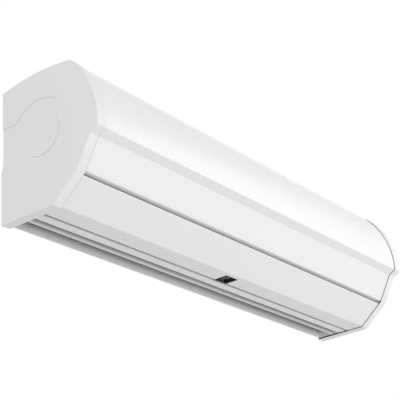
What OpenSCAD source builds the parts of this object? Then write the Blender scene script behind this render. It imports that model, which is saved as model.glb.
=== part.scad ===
// Wall-hung air curtain: a white casing with two end caps, a centre motor that
// turns two cross-flow rotors, and a pair of linked vanes in the outlet below.
//
// Axes: +X runs along the unit to the right, the wall is the plane Y = 0, the
// front faces -Y and +Z is up. Sections are drawn as [distance from wall, height],
// with heights counted from the lower front corner of the end caps.

/* [Overall] */
// Length over both end caps
unit_l = 900; // [760:10:1200]
// Depth from the wall to the front of the end caps
unit_deep = 187.8; // [187:0.1:240]
// Height of the end caps at their front top corner
unit_h = 217.3; // [216:0.1:270]
// Gap between one panel and the next
seam = 0.4; // [0.3:0.1:0.8]
// Shadow gap between the panels and the end caps
end_gap = 1.3; // [0.6:0.1:1.6]

/* [End caps] */
// Thickness of one end cap along the unit
cap_t = 17.5; // [17:0.5:24]
// Wall of the end cap mouldings
cap_wall = 2.5; // [2:0.5:3]
// Thickness of the end cap's outer face
cap_face_t = 3.5; // [3:0.5:4.5]
// How far the cap's bottom edge falls from its lower front corner to the wall
bottom_fall = 3.7; // [0:0.1:5]
// How much lower the cap is at the wall than at its front top corner
back_drop = 8.5; // [6:0.1:11]
// How far the cap's back edge stands off the wall above its step
back_step = 2.8; // [0.5:0.1:3]
// Height at which that step starts
back_step_z = 79.7; // [76:0.1:90]
// Depth of the cap's flat bottom, set back from the front
lip_setback = 86.6; // [80:0.1:90]
// Setback of the lower nose corner from the front
nose_setback = 39.5; // [36:0.1:44]
// Height of the lower nose corner
nose_z = 40.4; // [38:0.1:46]
// Setback of the step's inner corner from the front
step_setback = 13.4; // [10:0.1:15]
// Height of the step's inner corner
step_z = 88.7; // [84:0.1:94]
// Height of the step above its inner corner
step_h = 8.1; // [6:0.1:10]
// Setback of the front top corner
crown_setback = 48.7; // [46:0.1:55]
// Bulge of the curved front over its chord
front_bulge = 14.4; // [12:0.1:16]
// Bulge of the curved top over its chord
crown_bulge = 7.2; // [6:0.1:9]
// How far the caps stand proud of the front panels
rim_front = 1.8; // [1:0.1:4]
// How far the caps stand proud of the bottom lip
rim_low = 2.2; // [2:0.1:4]
// How far the caps stand proud of the top
rim_top = 2; // [1:0.1:4]
// Depth of the keyhole recess in the cap's outer face
relief_depth = 2; // [1:0.1:2.4]
// Radius of the round end of the keyhole recess
relief_r = 55; // [50:1:58]
// Radius of the flush disc inside the recess
relief_disc_r = 36.5; // [30:0.5:42]
// Distance of the keyhole's centre from the wall
relief_d = 78; // [76:0.5:82]
// Height of the keyhole's centre
relief_z = 120; // [116:1:124]
// Height of the channel between the wall edge and the disc
relief_channel_h = 59; // [56:1:70]

/* [Sheets] */
// Thickness of the front panels
skin = 1.5; // [1.2:0.1:1.8]
// Thickness of the rear casing and the air guides
case_t = 1.2; // [1:0.1:1.5]
// Thickness of the bulkheads and motor plates
plate_t = 1.5; // [1.2:0.1:2]
// Clearance between neighbouring sheets
fit_gap = 0.2; // [0.1:0.05:0.3]
// Height of the shadow groove between the front panels
groove_h = 3.7; // [3:0.1:6]
// Depth of the shadow groove
groove_deep = 8; // [6:0.5:9]
// Distance from the wall at which the intake grille starts
grille_start_d = 68; // [66:1:72]
// Number of bars in the intake grille
grille_bars = 8; // [6:1:10]
// Depth of the grille bars
grille_deep = 6; // [5:0.5:7]

/* [Fan] */
// Distance of the fan axis from the wall
fan_d = 84; // [82:1:88]
// Height of the fan axis
fan_z = 128; // [126:1:132]
// Outer radius of the rotors
fan_r = 46; // [42:0.5:47]
// Depth of the rotor blades
blade_deep = 10; // [8:0.5:12]
// Number of blades on each rotor
blade_n = 24; // [18:1:28]
// Radius of the motor shaft
shaft_r = 6; // [5:0.5:7]
// Radius of the stub shafts at the outer ends
stub_r = 4; // [3:0.5:4.5]
// Radial clearance of running fits
run_gap = 0.05; // [0.02:0.01:0.08]
// Half length of the motor bay between its side plates
bay_half = 64; // [64:1:80]
// Radius of the motor can
motor_r = 38; // [32:1:40]
// Half length of the motor can
motor_half = 46; // [40:1:46]
// Radius of the motor's rubber mounted bosses
boss_r = 20; // [18:1:22]

/* [Outlet] */
// Distance of the bottom lip's rear edge from the wall
outlet_d = 67; // [66:1:70]
// Distance of the front vane's pivot from the wall
front_vane_d = 55; // [54:0.5:55]
// Distance of the rear vane's pivot from the wall
rear_vane_d = 34; // [32:0.5:36]
// Height of the vane pivots
vane_z = 22; // [20:0.5:24]
// Thickness of the vanes
vane_t = 3; // [2.5:0.5:3]
// Width of the front vane's foot
foot_w = 14; // [11:0.5:14]
// Height of the vanes' top edge
vane_top_z = 37; // [34:1:40]
// Radius of the vane pivot pins
vane_pin_r = 1.75; // [1.5:0.05:2]
// Height of the link's pins above the vane pivots
link_rise = 19; // [18:0.5:20]
// Width of the lever pocket along the unit
pocket_w = 34; // [30:1:40]
// Depth of the lever pocket from the lip's rear edge
pocket_deep = 26; // [24:1:28]
// Height of the lever pocket's inside
pocket_h = 18; // [18:1:20]

/* [Wall plate] */
// Length of the wall plate
wall_plate_l = 750; // [740:10:1000]
// Thickness of the wall plate
wall_plate_t = 2; // [1.5:0.5:2]
// Spacing of the wall bolts along the unit
bolt_span_x = 640; // [600:10:660]
// Spacing of the wall bolts in height
bolt_span_z = 30; // [28:1:34]
// Radius of the wall bolt holes
bolt_hole_r = 3.5; // [3:0.5:4.5]
// Distance from the unit's middle to each hanging hook
hook_x = 200; // [150:10:250]

/* [Hidden] */
$fn = 48;
SMOOTH = 180;   // sides of the large curved panels
LONG = 1000;    // longer than the section in any direction
NUDGE = 1;      // how far a cut runs past the face it opens

// ---- colours ----
WHITE = [0.93, 0.93, 0.93];
CAP_WHITE = [0.9, 0.9, 0.9];
ZINC = [0.72, 0.73, 0.75];
STEEL = [0.6, 0.61, 0.63];
DARK = [0.12, 0.12, 0.12];
FAN_GREY = [0.55, 0.57, 0.6];

// ---- section of the end caps, as [distance from wall, height] ----
back_h = unit_h - back_drop;
lip_pt = [unit_deep - lip_setback, 0];
nose_pt = [unit_deep - nose_setback, nose_z];
step_pt = [unit_deep - step_setback, step_z];
brow_pt = [unit_deep, step_z + step_h];
crown_pt = [unit_deep - crown_setback, unit_h];
back_pt = [0, back_h];

function unit_vec(v) = v / norm(v);
function left_of(v) = [-v[1], v[0]];
function polar(r, a) = [r * cos(a), r * sin(a)];
// radius and centre of the arc from p to q that bulges out to the right
function arc_r(p, q, bulge) = (pow(norm(q - p), 2) / 4 + bulge * bulge) / (2 * bulge);
function arc_c(p, q, bulge) =
    (p + q) / 2 + left_of(unit_vec(q - p)) * (arc_r(p, q, bulge) - bulge);
// corner b of the outline a-b-c with its two edges moved in by g1 and g2
function inset_corner(a, b, c, g1, g2) =
    let (n1 = left_of(unit_vec(b - a)), n2 = left_of(unit_vec(c - b)))
    let (k = n1[0] * n2[1] - n1[1] * n2[0])
    b + [g1 * n2[1] - g2 * n1[1], g2 * n1[0] - g1 * n2[0]] / k;

front_r = arc_r(brow_pt, crown_pt, front_bulge);
front_c = arc_c(brow_pt, crown_pt, front_bulge);
crown_r = arc_r(crown_pt, back_pt, crown_bulge);
crown_c = arc_c(crown_pt, back_pt, crown_bulge);
far_pt = brow_pt + unit_vec(brow_pt - step_pt) * LONG / 10;
frame_pts = [[0, -bottom_fall], lip_pt, nose_pt, step_pt, far_pt, [far_pt[0], unit_h * 2], [0, unit_h * 2]];

// height of the curved top, moved in by g, at distance d from the wall
function crown_z_at(d, g) = crown_c[1] + sqrt(pow(crown_r - g, 2) - pow(d - crown_c[0], 2));
// height of the body's sloping bottom at distance d from the wall
function low_z_at(d) = rim_low - bottom_fall * (1 - d / lip_pt[0]);
// a front corner of the body, moved in by g more than the panels' outer face
function body_corner(i, g = 0) = inset_corner(frame_pts[i - 1], frame_pts[i], frame_pts[i + 1],
    (i == 1 ? rim_low : rim_front) + g, rim_front + g);
nose_in = body_corner(2);
step_in = body_corner(3);

// ---- fits ----
press_gap = 0.05;                         // radial gap of rubbers, rings and grommets in their seats
pin_gap = 0.02;                           // radial gap of fixed pins and of the hubs on the shaft

// ---- places along the unit ----
half_l = unit_l / 2;
body_half = half_l - cap_t;               // inner face of the caps
skin_half = body_half - end_gap;          // ends of the outer panels
plate_x = body_half - plate_t;            // inner face of the bulkheads
inner_half = plate_x - fit_gap;           // ends of what lies between the bulkheads
bay_out = bay_half + plate_t;             // outer face of the motor plates
case_d = wall_plate_t;                    // rear face of the rear casing
duct_d = case_d + case_t;                 // front face of the rear casing

// ---- wall plate and its hooks ----
wall_plate_top = back_h - 7.5;            // the casing's top hem closes over it
wall_plate_low = 88.7;
datum_z = 145;                            // height of the part's origin on the wall plate
bolt_head_r = 9;                          // room for the bolt heads in the rear casing
bolt_z = wall_plate_top - bolt_head_r - bolt_span_z / 2;
hook_w = 30;
hook_t = 2;
hook_z = bolt_z - 6;                      // top of the hook's ledge
hook_rise = 12;                           // height of the hook's upright above its ledge
hook_slot_h = 16;                         // height of the casing's slot for one hook
hook_slot_gap = 1;                        // room beside a hook in its slot
lock_x = 45;                              // distance of the lock screws from the middle
lock_z = 94.5;
case_low_in = 4;                          // rear casing's lower edge over the caps' bottom edge

// ---- air guides ----
scroll_c = [74, 118];
scroll_r = scroll_c[0] - duct_d - case_t - fit_gap;
lip_d = grille_start_d - case_t / 2;      // middle of the scroll's upright lip
scroll_a0 = acos((lip_d - scroll_c[0]) / (scroll_r + case_t / 2));
scroll_tail = 18;
tongue_d = outlet_d + skin + fit_gap + case_t / 2;
tongue_pts = [[tongue_d, rim_low + 2.5], [tongue_d, 48], [98, 74], [104, 78.5]];
baffle_z = 52.2;

// ---- fan ----
fan_room = 4.5;                           // room between a rotor and the plates beside it
hub_x = bay_out + fan_room;               // inner face of the hub flange
hub_flange_t = 4;
hub_flange_r = 24;
hub_r = 12;
hub_l = 22;
set_screw_r = 2;
set_screw_x = hub_x + 15;
disc_x = hub_x + hub_flange_t;            // inner end disc of the rotor
rotor_end = plate_x - fan_room;           // outer face of the outer end disc
disc_t = 2;
ring_t = 1.5;
stub_flange_t = 2.5;
stub_flange_r = 14;
stub_end = body_half + 10;
bearing_r = 11;
bearing_w = 7;
rubber_r = 15;
housing_wall = 2;
housing_deep = 11;
housing_flange_r = 27;
housing_flange_t = 2;
housing_screw_r = 22;                     // radius of the circle of housing screws
housing_screw_a = [90, 210, 330];
shaft_end = hub_x + hub_l - 2;
boss_end = bay_half - 6;                  // ends of the motor's bosses
ring_r = 26;                              // outer radius of the rubber rings
ring_seat_r = ring_r + press_gap;
saddle_x0 = 50;                           // inner and outer faces of the cradle's saddles
saddle_x1 = 56;
saddle_half_z = 36;
strap_t = 1.5;
strap_screw_x = (saddle_x0 + saddle_x1) / 2;
strap_screw_z = 31;                       // distance of the strap screws from the fan axis
cradle_t = 2;
cradle_half_x = saddle_x1 + 2;
cradle_z0 = 100;
cradle_z1 = 168;
cradle_screw_x = 20;
cradle_edge = 6;                          // distance of the cradle's screws from its edges
shield_t = 2;                             // end shields of the motor
shield_in = 5;
lead_box_w = 30;
lead_box_z0 = fan_z + 15;
lead_box_z1 = fan_z + 29;
lead_box_d = fan_d - motor_r - 6;         // rear face of the box that the motor's leads leave

// ---- vanes ----
bead_r = 3.2;                             // round bead along each vane's pivot
vane_half = plate_x - 1.5;
bush_r = 4;
link_x = -45.5;                           // left face of the lugs that carry the link
lug_t = 1.5;
link_pin_r = 1.5;
link_half_z = 3;                          // half height of the link and of its lugs
lever_x = 6;                              // middle of the lever
lever_w = 12;                             // width of the lever's finger pad
pocket_wall = 1.5;
pocket_half_out = pocket_w / 2 + pocket_wall;
lever_screw_x = 5;                        // distance of the lever's screws from its middle
pocket_top = rim_low + pocket_h;

// ---- small fasteners ----
m4_r = 2;
m4_head_r = 3.6;
m4_head_h = 2.5;
m3_r = 1.5;
m3_head_r = 2.8;
m3_head_h = 1.8;
slot_half = 0.4;                          // half width of the driver slot in a screw head
slot_reach = 0.6;                         // its half length as a share of the head's radius
hole_gap = 0.1;                           // radial clearance of screw holes
tab_l = 12;
tab_h = 16;
tab_z = [30, 148];                        // lower ends of the bulkheads' rear tabs
plate_tab_z = [62, 172];                  // lower ends of the motor plates' rear tabs

// ---- electrical parts ----
cap_r = 14;
capacitor_l = 60;
capacitor_d = duct_d + cap_r + 1.3;
capacitor_z = back_h - 24.5;
post_dz = 5;                              // distance of the capacitor's posts from its axis
post_l = 7;
capacitor_x = -(plate_x - 34.5);          // left end of the capacitor
block_x0 = plate_x - 86.5;
block_l = 50;
block_z0 = back_h - 41.5;
block_h = 20;
block_deep = 14;
cover_t = 1.2;
grommet_x = plate_x - 19.5;
grommet_z = back_h - 26.5;
grommet_r = 9;
cable_r = 4;
stud_x = plate_x - 124.5;
stud_r = 2.5;
stud_z = back_h - 31.5;
wire_r = 2;
wire_d = 13;
wire_z = back_h - 19.5;
wire_hole_r = 4;

// ---- helpers ----
// Moves the drawing heights to the part's origin.
module place() {
    translate([0, 0, -datum_z]) children();
}

// Extrudes a [distance from wall, height] section from x0 to x1.
module along_x(x0, x1) {
    translate([x0, 0, 0]) rotate([90, 0, 90]) linear_extrude(height = x1 - x0)
        mirror([1, 0]) children();
}

module box(x0, x1, d0, d1, z0, z1) {
    translate([x0, -d1, z0]) cube([x1 - x0, d1 - d0, z1 - z0]);
}

module rod_x(x0, x1, d, z, r) {
    translate([x0, -d, z]) rotate([0, 90, 0]) cylinder(h = x1 - x0, r = r);
}

module rod_y(x, d0, d1, z, r) {
    translate([x, -d0, z]) rotate([90, 0, 0]) cylinder(h = d1 - d0, r = r);
}

// The given side of a pair: drawn on the right, mirrored for the left.
module on_side(side) {
    if (side < 0) mirror([1, 0, 0]) children();
    else children();
}

module height_band(z0, z1) {
    translate([-LONG / 2, z0]) square([LONG, z1 - z0]);
}

module depth_band(d0, d1) {
    translate([d0, -LONG / 2]) square([d1 - d0, LONG]);
}

// Outline of the section with the front, bottom, top and back moved in.
module outline(front, low, top, back = 0) {
    g = [low, front, front, front, 0, 0, back];
    n = len(frame_pts);
    intersection() {
        polygon([for (i = [0 : n - 1]) inset_corner(frame_pts[(i + n - 1) % n], frame_pts[i],
            frame_pts[(i + 1) % n], g[(i + n - 1) % n], g[i])]);
        translate(front_c) circle(r = front_r - front, $fn = SMOOTH);
        translate(crown_c) circle(r = crown_r - top, $fn = SMOOTH * 2);
    }
}

// Shell of the body from g0 to g1 inside the panels' outer face.
module body_shell(g0, g1) {
    difference() {
        outline(rim_front + g0, rim_low + g0, rim_top + g0);
        outline(rim_front + g1, rim_low + g1, rim_top + g1);
    }
}

// Sheet of thickness t bent along the points of a section.
module bent_sheet(points, t) {
    for (i = [0 : len(points) - 2]) {
        run = points[i + 1] - points[i];
        translate(points[i]) rotate(atan2(run[1], run[0]))
            translate([0, -t / 2]) square([norm(run), t]);
        if (i > 0) translate(points[i]) circle(d = t, $fn = 24);
    }
}

module sector(c, r, a0, a1) {
    n = 6;
    polygon(concat([c], [for (i = [0 : n]) c + polar(r, a0 + (a1 - a0) * i / n)]));
}

// Screw along Y: the head starts at distance d and the shank ends at distance d_end.
module screw_y(x, z, d, d_end, r, head_r, head_h) {
    rod_y(x, d_end, d + NUDGE / 2, z, r);
    difference() {
        rod_y(x, d, d + head_h, z, head_r);
        box(x - head_r * slot_reach, x + head_r * slot_reach, d + head_h / 2, d + head_h + NUDGE,
            z - slot_half, z + slot_half);
    }
}

// Screw along X: the head ends at x and the shank reaches to x_end.
module screw_x(x, x_end, d, z, r, head_r, head_h) {
    rod_x(min(x, x_end), max(x, x_end), d, z, r);
    difference() {
        rod_x(x < x_end ? x - head_h : x, x < x_end ? x : x + head_h, d, z, head_r);
        box(x < x_end ? x - head_h - NUDGE : x + head_h / 2,
            x < x_end ? x - head_h / 2 : x + head_h + NUDGE,
            d - slot_half, d + slot_half, z - head_r * slot_reach, z + head_r * slot_reach);
    }
}

// ---- wall plate and rear casing ----
module wall_bolts(r, d0, d1) {
    for (sx = [-1, 1], sz = [-1, 1])
        rod_y(sx * bolt_span_x / 2, d0, d1, bolt_z + sz * bolt_span_z / 2, r);
}

module wall_plate() {
    color(ZINC) place() {
        difference() {
            box(-wall_plate_l / 2, wall_plate_l / 2, 0, wall_plate_t, wall_plate_low, wall_plate_top);
            wall_bolts(bolt_hole_r, -NUDGE, wall_plate_t + NUDGE);
            for (s = [-1, 1]) rod_y(s * lock_x, -NUDGE, wall_plate_t + NUDGE, lock_z, m4_r + hole_gap);
        }
        for (s = [-1, 1]) {
            hook_x0 = s * hook_x - hook_w / 2;
            hook_d = duct_d + 0.3;
            box(hook_x0, hook_x0 + hook_w, wall_plate_t - NUDGE / 2, hook_d + hook_t,
                hook_z - hook_t, hook_z);
            box(hook_x0, hook_x0 + hook_w, hook_d, hook_d + hook_t,
                hook_z - hook_t, hook_z + hook_rise);
        }
    }
}

module rear_casing() {
    color(WHITE) place() difference() {
        along_x(-skin_half, skin_half) {
            intersection() {
                outline(rim_front, case_low_in, rim_top, case_d);
                depth_band(case_d, duct_d);
            }
            intersection() {
                difference() {
                    outline(rim_front, case_low_in, rim_top, case_d);
                    outline(rim_front, 0, rim_top + case_t);
                }
                depth_band(case_d, grille_start_d);
            }
        }
        wall_bolts(bolt_head_r, 0, duct_d + NUDGE);
        for (s = [-1, 1]) {
            box(s * hook_x - hook_w / 2 - hook_slot_gap, s * hook_x + hook_w / 2 + hook_slot_gap,
                0, duct_d + NUDGE, hook_z - hook_slot_h, hook_z);
            rod_y(s * lock_x, 0, duct_d + NUDGE, lock_z, m4_r + hole_gap);
        }
        rod_y(grommet_x, 0, duct_d + NUDGE, grommet_z, grommet_r);
        rod_y(stud_x, 0, duct_d + NUDGE, stud_z, stud_r + hole_gap);
        frame_screw_places() rod_y(0, 0, duct_d + NUDGE, 0, m4_r + hole_gap);
        cradle_screw_places() rod_y(0, 0, duct_d + NUDGE, 0, m4_r + hole_gap);
    }
}

// ---- top: intake grille and front rail ----
rail_l = 16;                              // how far the rail reaches behind the front top corner
rail_h = 12.6;                            // how far its rear leg reaches below that corner
rail_front_h = 26.5;                      // how far its front leg reaches below that corner
rail_d = crown_pt[0] - rail_l;
rail_z = crown_pt[1] - rail_h;
rail_low_z = crown_pt[1] - rail_front_h;
grille_end_d = rail_d - fit_gap;

module top_intake_grille() {
    bar = 2;
    d0 = grille_start_d + seam;
    pitch = (grille_end_d - d0 - bar) / (grille_bars - 1);
    ribs = 11;
    rib_pitch = (2 * inner_half - bar) / (ribs - 1);
    color(WHITE) place() intersection() {
        along_x(-inner_half, inner_half) difference() {
            outline(rim_front, 0, rim_top);
            outline(rim_front, 0, rim_top + grille_deep);
        }
        union() {
            for (i = [0 : grille_bars - 1])
                box(-inner_half, inner_half, d0 + i * pitch, d0 + i * pitch + bar, 0, LONG);
            for (i = [0 : ribs - 1])
                box(-inner_half + i * rib_pitch, -inner_half + i * rib_pitch + bar,
                    d0, grille_end_d, 0, LONG);
        }
    }
}

module top_front_rail() {
    wall = 1.8;
    color(WHITE) place() along_x(-skin_half, skin_half) {
        intersection() {
            difference() {
                outline(rim_front, 0, rim_top);
                intersection() {
                    outline(rim_front + wall, 0, rim_top + wall);
                    depth_band(rail_d + wall, LONG);
                    height_band(0, LONG);
                }
            }
            depth_band(rail_d, LONG);
            height_band(rail_z, LONG);
        }
        intersection() {
            body_shell(0, skin);
            height_band(rail_low_z, rail_z + NUDGE);
            depth_band(fan_d, LONG);
        }
    }
}

// ---- front panels ----
cover_top_z = rail_low_z - seam;
groove_low_z = nose_in[1] - groove_h / 2;
groove_top_z = nose_in[1] + groove_h / 2;

module hem(z0) {
    along_x(-inner_half, inner_half) intersection() {
        body_shell(0, groove_deep);
        height_band(z0, z0 + case_t);
        depth_band(fan_d, LONG);
    }
}

module upper_front_cover() {
    color(WHITE) place() along_x(-skin_half, skin_half) intersection() {
        body_shell(0, skin);
        height_band(step_in[1], cover_top_z);
        depth_band(fan_d, LONG);
    }
}

module middle_front_panel() {
    color(WHITE) place() {
        along_x(-skin_half, skin_half) intersection() {
            body_shell(0, skin);
            height_band(groove_top_z, step_in[1] - seam);
            depth_band(fan_d, LONG);
        }
        hem(groove_top_z);
    }
}

module groove_rail() {
    color(WHITE) place() along_x(-inner_half, inner_half) intersection() {
        body_shell(groove_deep + fit_gap, groove_deep + fit_gap + case_t);
        height_band(groove_low_z - case_t, groove_top_z + case_t);
        depth_band(fan_d, LONG);
    }
}

module lower_front_panel() {
    hem_h = 9;
    color(WHITE) place() difference() {
        union() {
            along_x(-skin_half, skin_half) intersection() {
                body_shell(0, skin);
                height_band(0, groove_low_z);
                depth_band(outlet_d, LONG);
            }
            hem(groove_low_z - case_t);
            along_x(-inner_half, inner_half) translate([outlet_d, rim_low]) square([skin, hem_h]);
        }
        box(-pocket_w / 2, pocket_w / 2, 0, outlet_d + pocket_deep, 0, rim_low + hem_h + NUDGE);
        box(-pocket_half_out - fit_gap, pocket_half_out + fit_gap, 0, outlet_d + skin + fit_gap,
            rim_low + skin, rim_low + hem_h + NUDGE);
    }
}

// ---- end caps ----
flange_t = 2;
flange_in = 16;                           // how far the cap's inner flange reaches in
cap_screw_in = 14;                        // how far the cap screws lie inside the rim
cap_screw_turn = 6.3;                     // angle of the top cap screw before the front top corner
crown_a = atan2(crown_pt[1] - front_c[1], crown_pt[0] - front_c[0]);
back_step_run = 7.1;                      // height over which the back edge slopes to its step
cap_boss_r = 4;
cap_boss_l = 10;

// Centres of the screws that hold one cap to its bulkhead
cap_screw_pts = [
    [12, 46],
    [12, back_h - 16],
    (nose_pt + step_pt) / 2 + left_of(unit_vec(step_pt - nose_pt)) * cap_screw_in,
    front_c + polar(front_r - cap_screw_in, crown_a - cap_screw_turn)
];

module keyhole_recess() {
    difference() {
        union() {
            translate([relief_d, relief_z]) circle(r = relief_r, $fn = 96);
            translate([-NUDGE, relief_z - relief_channel_h / 2])
                square([relief_d + NUDGE, relief_channel_h]);
        }
        translate([relief_d, relief_z]) circle(r = relief_disc_r, $fn = 96);
    }
}

module end_cap(side) {
    color(CAP_WHITE) place() on_side(side) difference() {
        union() {
            along_x(half_l - cap_face_t, half_l) outline(0, 0, 0);
            along_x(body_half, half_l) difference() {
                outline(0, 0, 0);
                outline(cap_wall, cap_wall, cap_wall, cap_wall + back_step);
            }
            along_x(body_half, body_half + flange_t) difference() {
                outline(0, 0, 0);
                outline(flange_in, flange_in, flange_in, flange_in);
            }
            for (p = cap_screw_pts)
                rod_x(body_half, body_half + cap_boss_l, p[0], p[1], cap_boss_r);
        }
        along_x(half_l - relief_depth, half_l + NUDGE) keyhole_recess();
        along_x(body_half - NUDGE, half_l + NUDGE)
            polygon([[-NUDGE, back_step_z], [0, back_step_z], [back_step, back_step_z + back_step_run],
                [back_step, LONG], [-NUDGE, LONG]]);
        for (p = cap_screw_pts)
            rod_x(body_half - NUDGE, body_half + cap_boss_l - 1, p[0], p[1], m3_r + hole_gap);
    }
}

// ---- bulkheads, motor plates and air guides ----
plate_inset = skin + fit_gap;

module bulkhead_tab(z0, x1, length) {
    box(x1 - length, x1, duct_d + fit_gap, duct_d + fit_gap + case_t, z0, z0 + tab_h);
}

module bulkhead(side) {
    low = rim_low + plate_inset;
    back = duct_d + fit_gap;
    color(WHITE) place() on_side(side) difference() {
        union() {
            along_x(plate_x, body_half)
                outline(rim_front + plate_inset, low, rim_top + case_t + fit_gap, back);
            along_x(plate_x - tab_l, plate_x + NUDGE / 2) intersection() {
                difference() {
                    outline(rim_front + plate_inset, low, rim_top + case_t + fit_gap);
                    outline(rim_front + plate_inset + case_t, low + case_t, rim_top + 2 * case_t);
                }
                depth_band(outlet_d + 8, LONG);
                union() {
                    height_band(0, groove_low_z - 3);
                    height_band(groove_top_z + 3, rail_z - 8);
                }
            }
            for (z = tab_z) bulkhead_tab(z, plate_x + NUDGE / 2, tab_l + NUDGE / 2);
        }
        rod_x(plate_x - NUDGE, body_half + NUDGE, fan_d, fan_z, bearing_r - 1);
        for (d = [front_vane_d, rear_vane_d])
            rod_x(plate_x - NUDGE, body_half + NUDGE, d, vane_z, bush_r + hole_gap / 2);
        for (p = cap_screw_pts)
            rod_x(plate_x - NUDGE, body_half + NUDGE, p[0], p[1], m3_r + hole_gap);
        for (a = housing_screw_a) {
            q = [fan_d, fan_z] + polar(housing_screw_r, a);
            rod_x(plate_x - NUDGE, body_half + NUDGE, q[0], q[1], m3_r + hole_gap);
        }
        along_x(plate_x - NUDGE, body_half + NUDGE) intersection() {
            depth_band(rail_d - fit_gap, LONG);
            height_band(rail_z - fit_gap, LONG);
        }
        for (z = tab_z)
            rod_y(plate_x - tab_l / 2, duct_d, duct_d + 3, z + tab_h / 2, m4_r + hole_gap);
    }
}

module motor_plate(side) {
    top_z = back_h - 9.5;
    rear = duct_d + fit_gap;
    shape = [[rear, baffle_z + case_t], [outlet_d + 4, baffle_z + case_t], [100, 70], [135, 100],
        [135, 165], [108, top_z - 2], [rear, top_z - 2]];
    color(ZINC) place() on_side(side) difference() {
        union() {
            along_x(bay_half, bay_out) polygon(shape);
            for (z = plate_tab_z)
                box(bay_half - tab_l, bay_half + NUDGE / 2, rear, rear + case_t, z, z + tab_h);
        }
        rod_x(bay_half - NUDGE, bay_out + NUDGE, fan_d, fan_z, hub_r + 4);
        rod_x(bay_half - NUDGE, bay_out + NUDGE, wire_d, wire_z, wire_hole_r);
        for (z = plate_tab_z)
            rod_y(bay_half - tab_l / 2, duct_d, duct_d + 3, z + tab_h / 2, m4_r + hole_gap);
    }
}

module scroll(side) {
    top_pt = scroll_c + polar(scroll_r + case_t / 2, scroll_a0);
    lip_top = crown_z_at(lip_d - case_t / 2, rim_top + case_t) - fit_gap;
    color(ZINC) place() on_side(side) along_x(bay_out + fit_gap, inner_half) {
        intersection() {
            difference() {
                translate(scroll_c) circle(r = scroll_r + case_t, $fn = SMOOTH);
                translate(scroll_c) circle(r = scroll_r, $fn = SMOOTH);
            }
            sector(scroll_c, scroll_r * 1.5, scroll_a0, 180);
        }
        translate([lip_d - case_t / 2, top_pt[1] - case_t / 2])
            square([case_t, lip_top - top_pt[1] + case_t / 2]);
        translate([scroll_c[0] - scroll_r - case_t, scroll_c[1] - scroll_tail])
            square([case_t, scroll_tail + 0.5]);
    }
}

module tongue(side) {
    color(ZINC) place() on_side(side) along_x(bay_out + fit_gap, inner_half) {
        bent_sheet(tongue_pts, case_t);
        translate(tongue_pts[3]) circle(r = 1.6, $fn = 24);
    }
}

module bay_baffle() {
    color(ZINC) place() {
        box(-bay_half + fit_gap, bay_half - fit_gap, duct_d + fit_gap, tongue_d + case_t / 2,
            baffle_z, baffle_z + case_t);
        box(-bay_half + fit_gap, bay_half - fit_gap, tongue_d - case_t / 2, tongue_d + case_t / 2,
            pocket_top + pocket_wall + 1, baffle_z + case_t);
    }
}

// ---- motor and its mounting ----
module cradle_screw_places() {
    for (sx = [-1, 1], z = [cradle_z0 + cradle_edge, cradle_z1 - cradle_edge])
        translate([sx * cradle_screw_x, 0, z]) children();
}

module motor_body() {
    color(STEEL) place() difference() {
        union() {
            rod_x(-motor_half, motor_half, fan_d, fan_z, motor_r, $fn = 96);
            rod_x(-motor_half - shield_t, motor_half + shield_t, fan_d, fan_z,
                motor_r - shield_in, $fn = 96);
            rod_x(-boss_end, boss_end, fan_d, fan_z, boss_r);
            box(-lead_box_w / 2, lead_box_w / 2, lead_box_d, fan_d - motor_r + 10,
                lead_box_z0, lead_box_z1);
        }
        rod_x(-boss_end - NUDGE, boss_end + NUDGE, fan_d, fan_z, shaft_r + run_gap);
    }
}

module motor_cradle() {
    color(ZINC) place() difference() {
        union() {
            box(-cradle_half_x, cradle_half_x, duct_d, duct_d + cradle_t, cradle_z0, cradle_z1);
            for (s = [-1, 1]) on_side(s)
                box(saddle_x0, saddle_x1, duct_d, fan_d, fan_z - saddle_half_z, fan_z + saddle_half_z);
        }
        rod_x(-bay_half, bay_half, fan_d, fan_z, ring_seat_r, $fn = 64);
        cradle_screw_places() rod_y(0, 0, duct_d + cradle_t + NUDGE, 0, m4_r + hole_gap);
        for (s = [-1, 1], sz = [-1, 1])
            rod_y(s * strap_screw_x, fan_d - 12, fan_d + NUDGE, fan_z + sz * strap_screw_z,
                m3_r + hole_gap);
    }
}

module motor_rubber_rings() {
    color(DARK) place() for (s = [-1, 1]) on_side(s) difference() {
        rod_x(saddle_x0 - 1, saddle_x1 + 1, fan_d, fan_z, ring_r, $fn = 64);
        rod_x(saddle_x0 - 2, saddle_x1 + 2, fan_d, fan_z, boss_r + press_gap);
    }
}

module motor_straps() {
    color(ZINC) place() for (s = [-1, 1]) on_side(s) difference() {
        along_x(saddle_x0, saddle_x1) {
            intersection() {
                difference() {
                    translate([fan_d, fan_z]) circle(r = ring_seat_r + strap_t, $fn = 64);
                    translate([fan_d, fan_z]) circle(r = ring_seat_r, $fn = 64);
                }
                depth_band(fan_d, LONG);
            }
            for (sz = [-1, 1])
                translate([fan_d, fan_z + (sz > 0 ? ring_r + 0.5 : -saddle_half_z)])
                    square([strap_t, saddle_half_z - ring_r - 0.5]);
        }
        for (sz = [-1, 1])
            rod_y(strap_screw_x, fan_d - NUDGE, fan_d + strap_t + NUDGE,
                fan_z + sz * strap_screw_z, m3_r + hole_gap);
    }
}

// ---- turning parts ----
module motor_shaft() {
    color(STEEL) place() rod_x(-shaft_end, shaft_end, fan_d, fan_z, shaft_r);
}

module hub(side) {
    color(STEEL) place() on_side(side) difference() {
        union() {
            rod_x(hub_x, disc_x, fan_d, fan_z, hub_flange_r);
            rod_x(hub_x, hub_x + hub_l, fan_d, fan_z, hub_r);
        }
        rod_x(hub_x - NUDGE, hub_x + hub_l + NUDGE, fan_d, fan_z, shaft_r + pin_gap);
        translate([set_screw_x, -fan_d, fan_z]) cylinder(h = hub_r + NUDGE, r = set_screw_r + pin_gap);
    }
}

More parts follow.
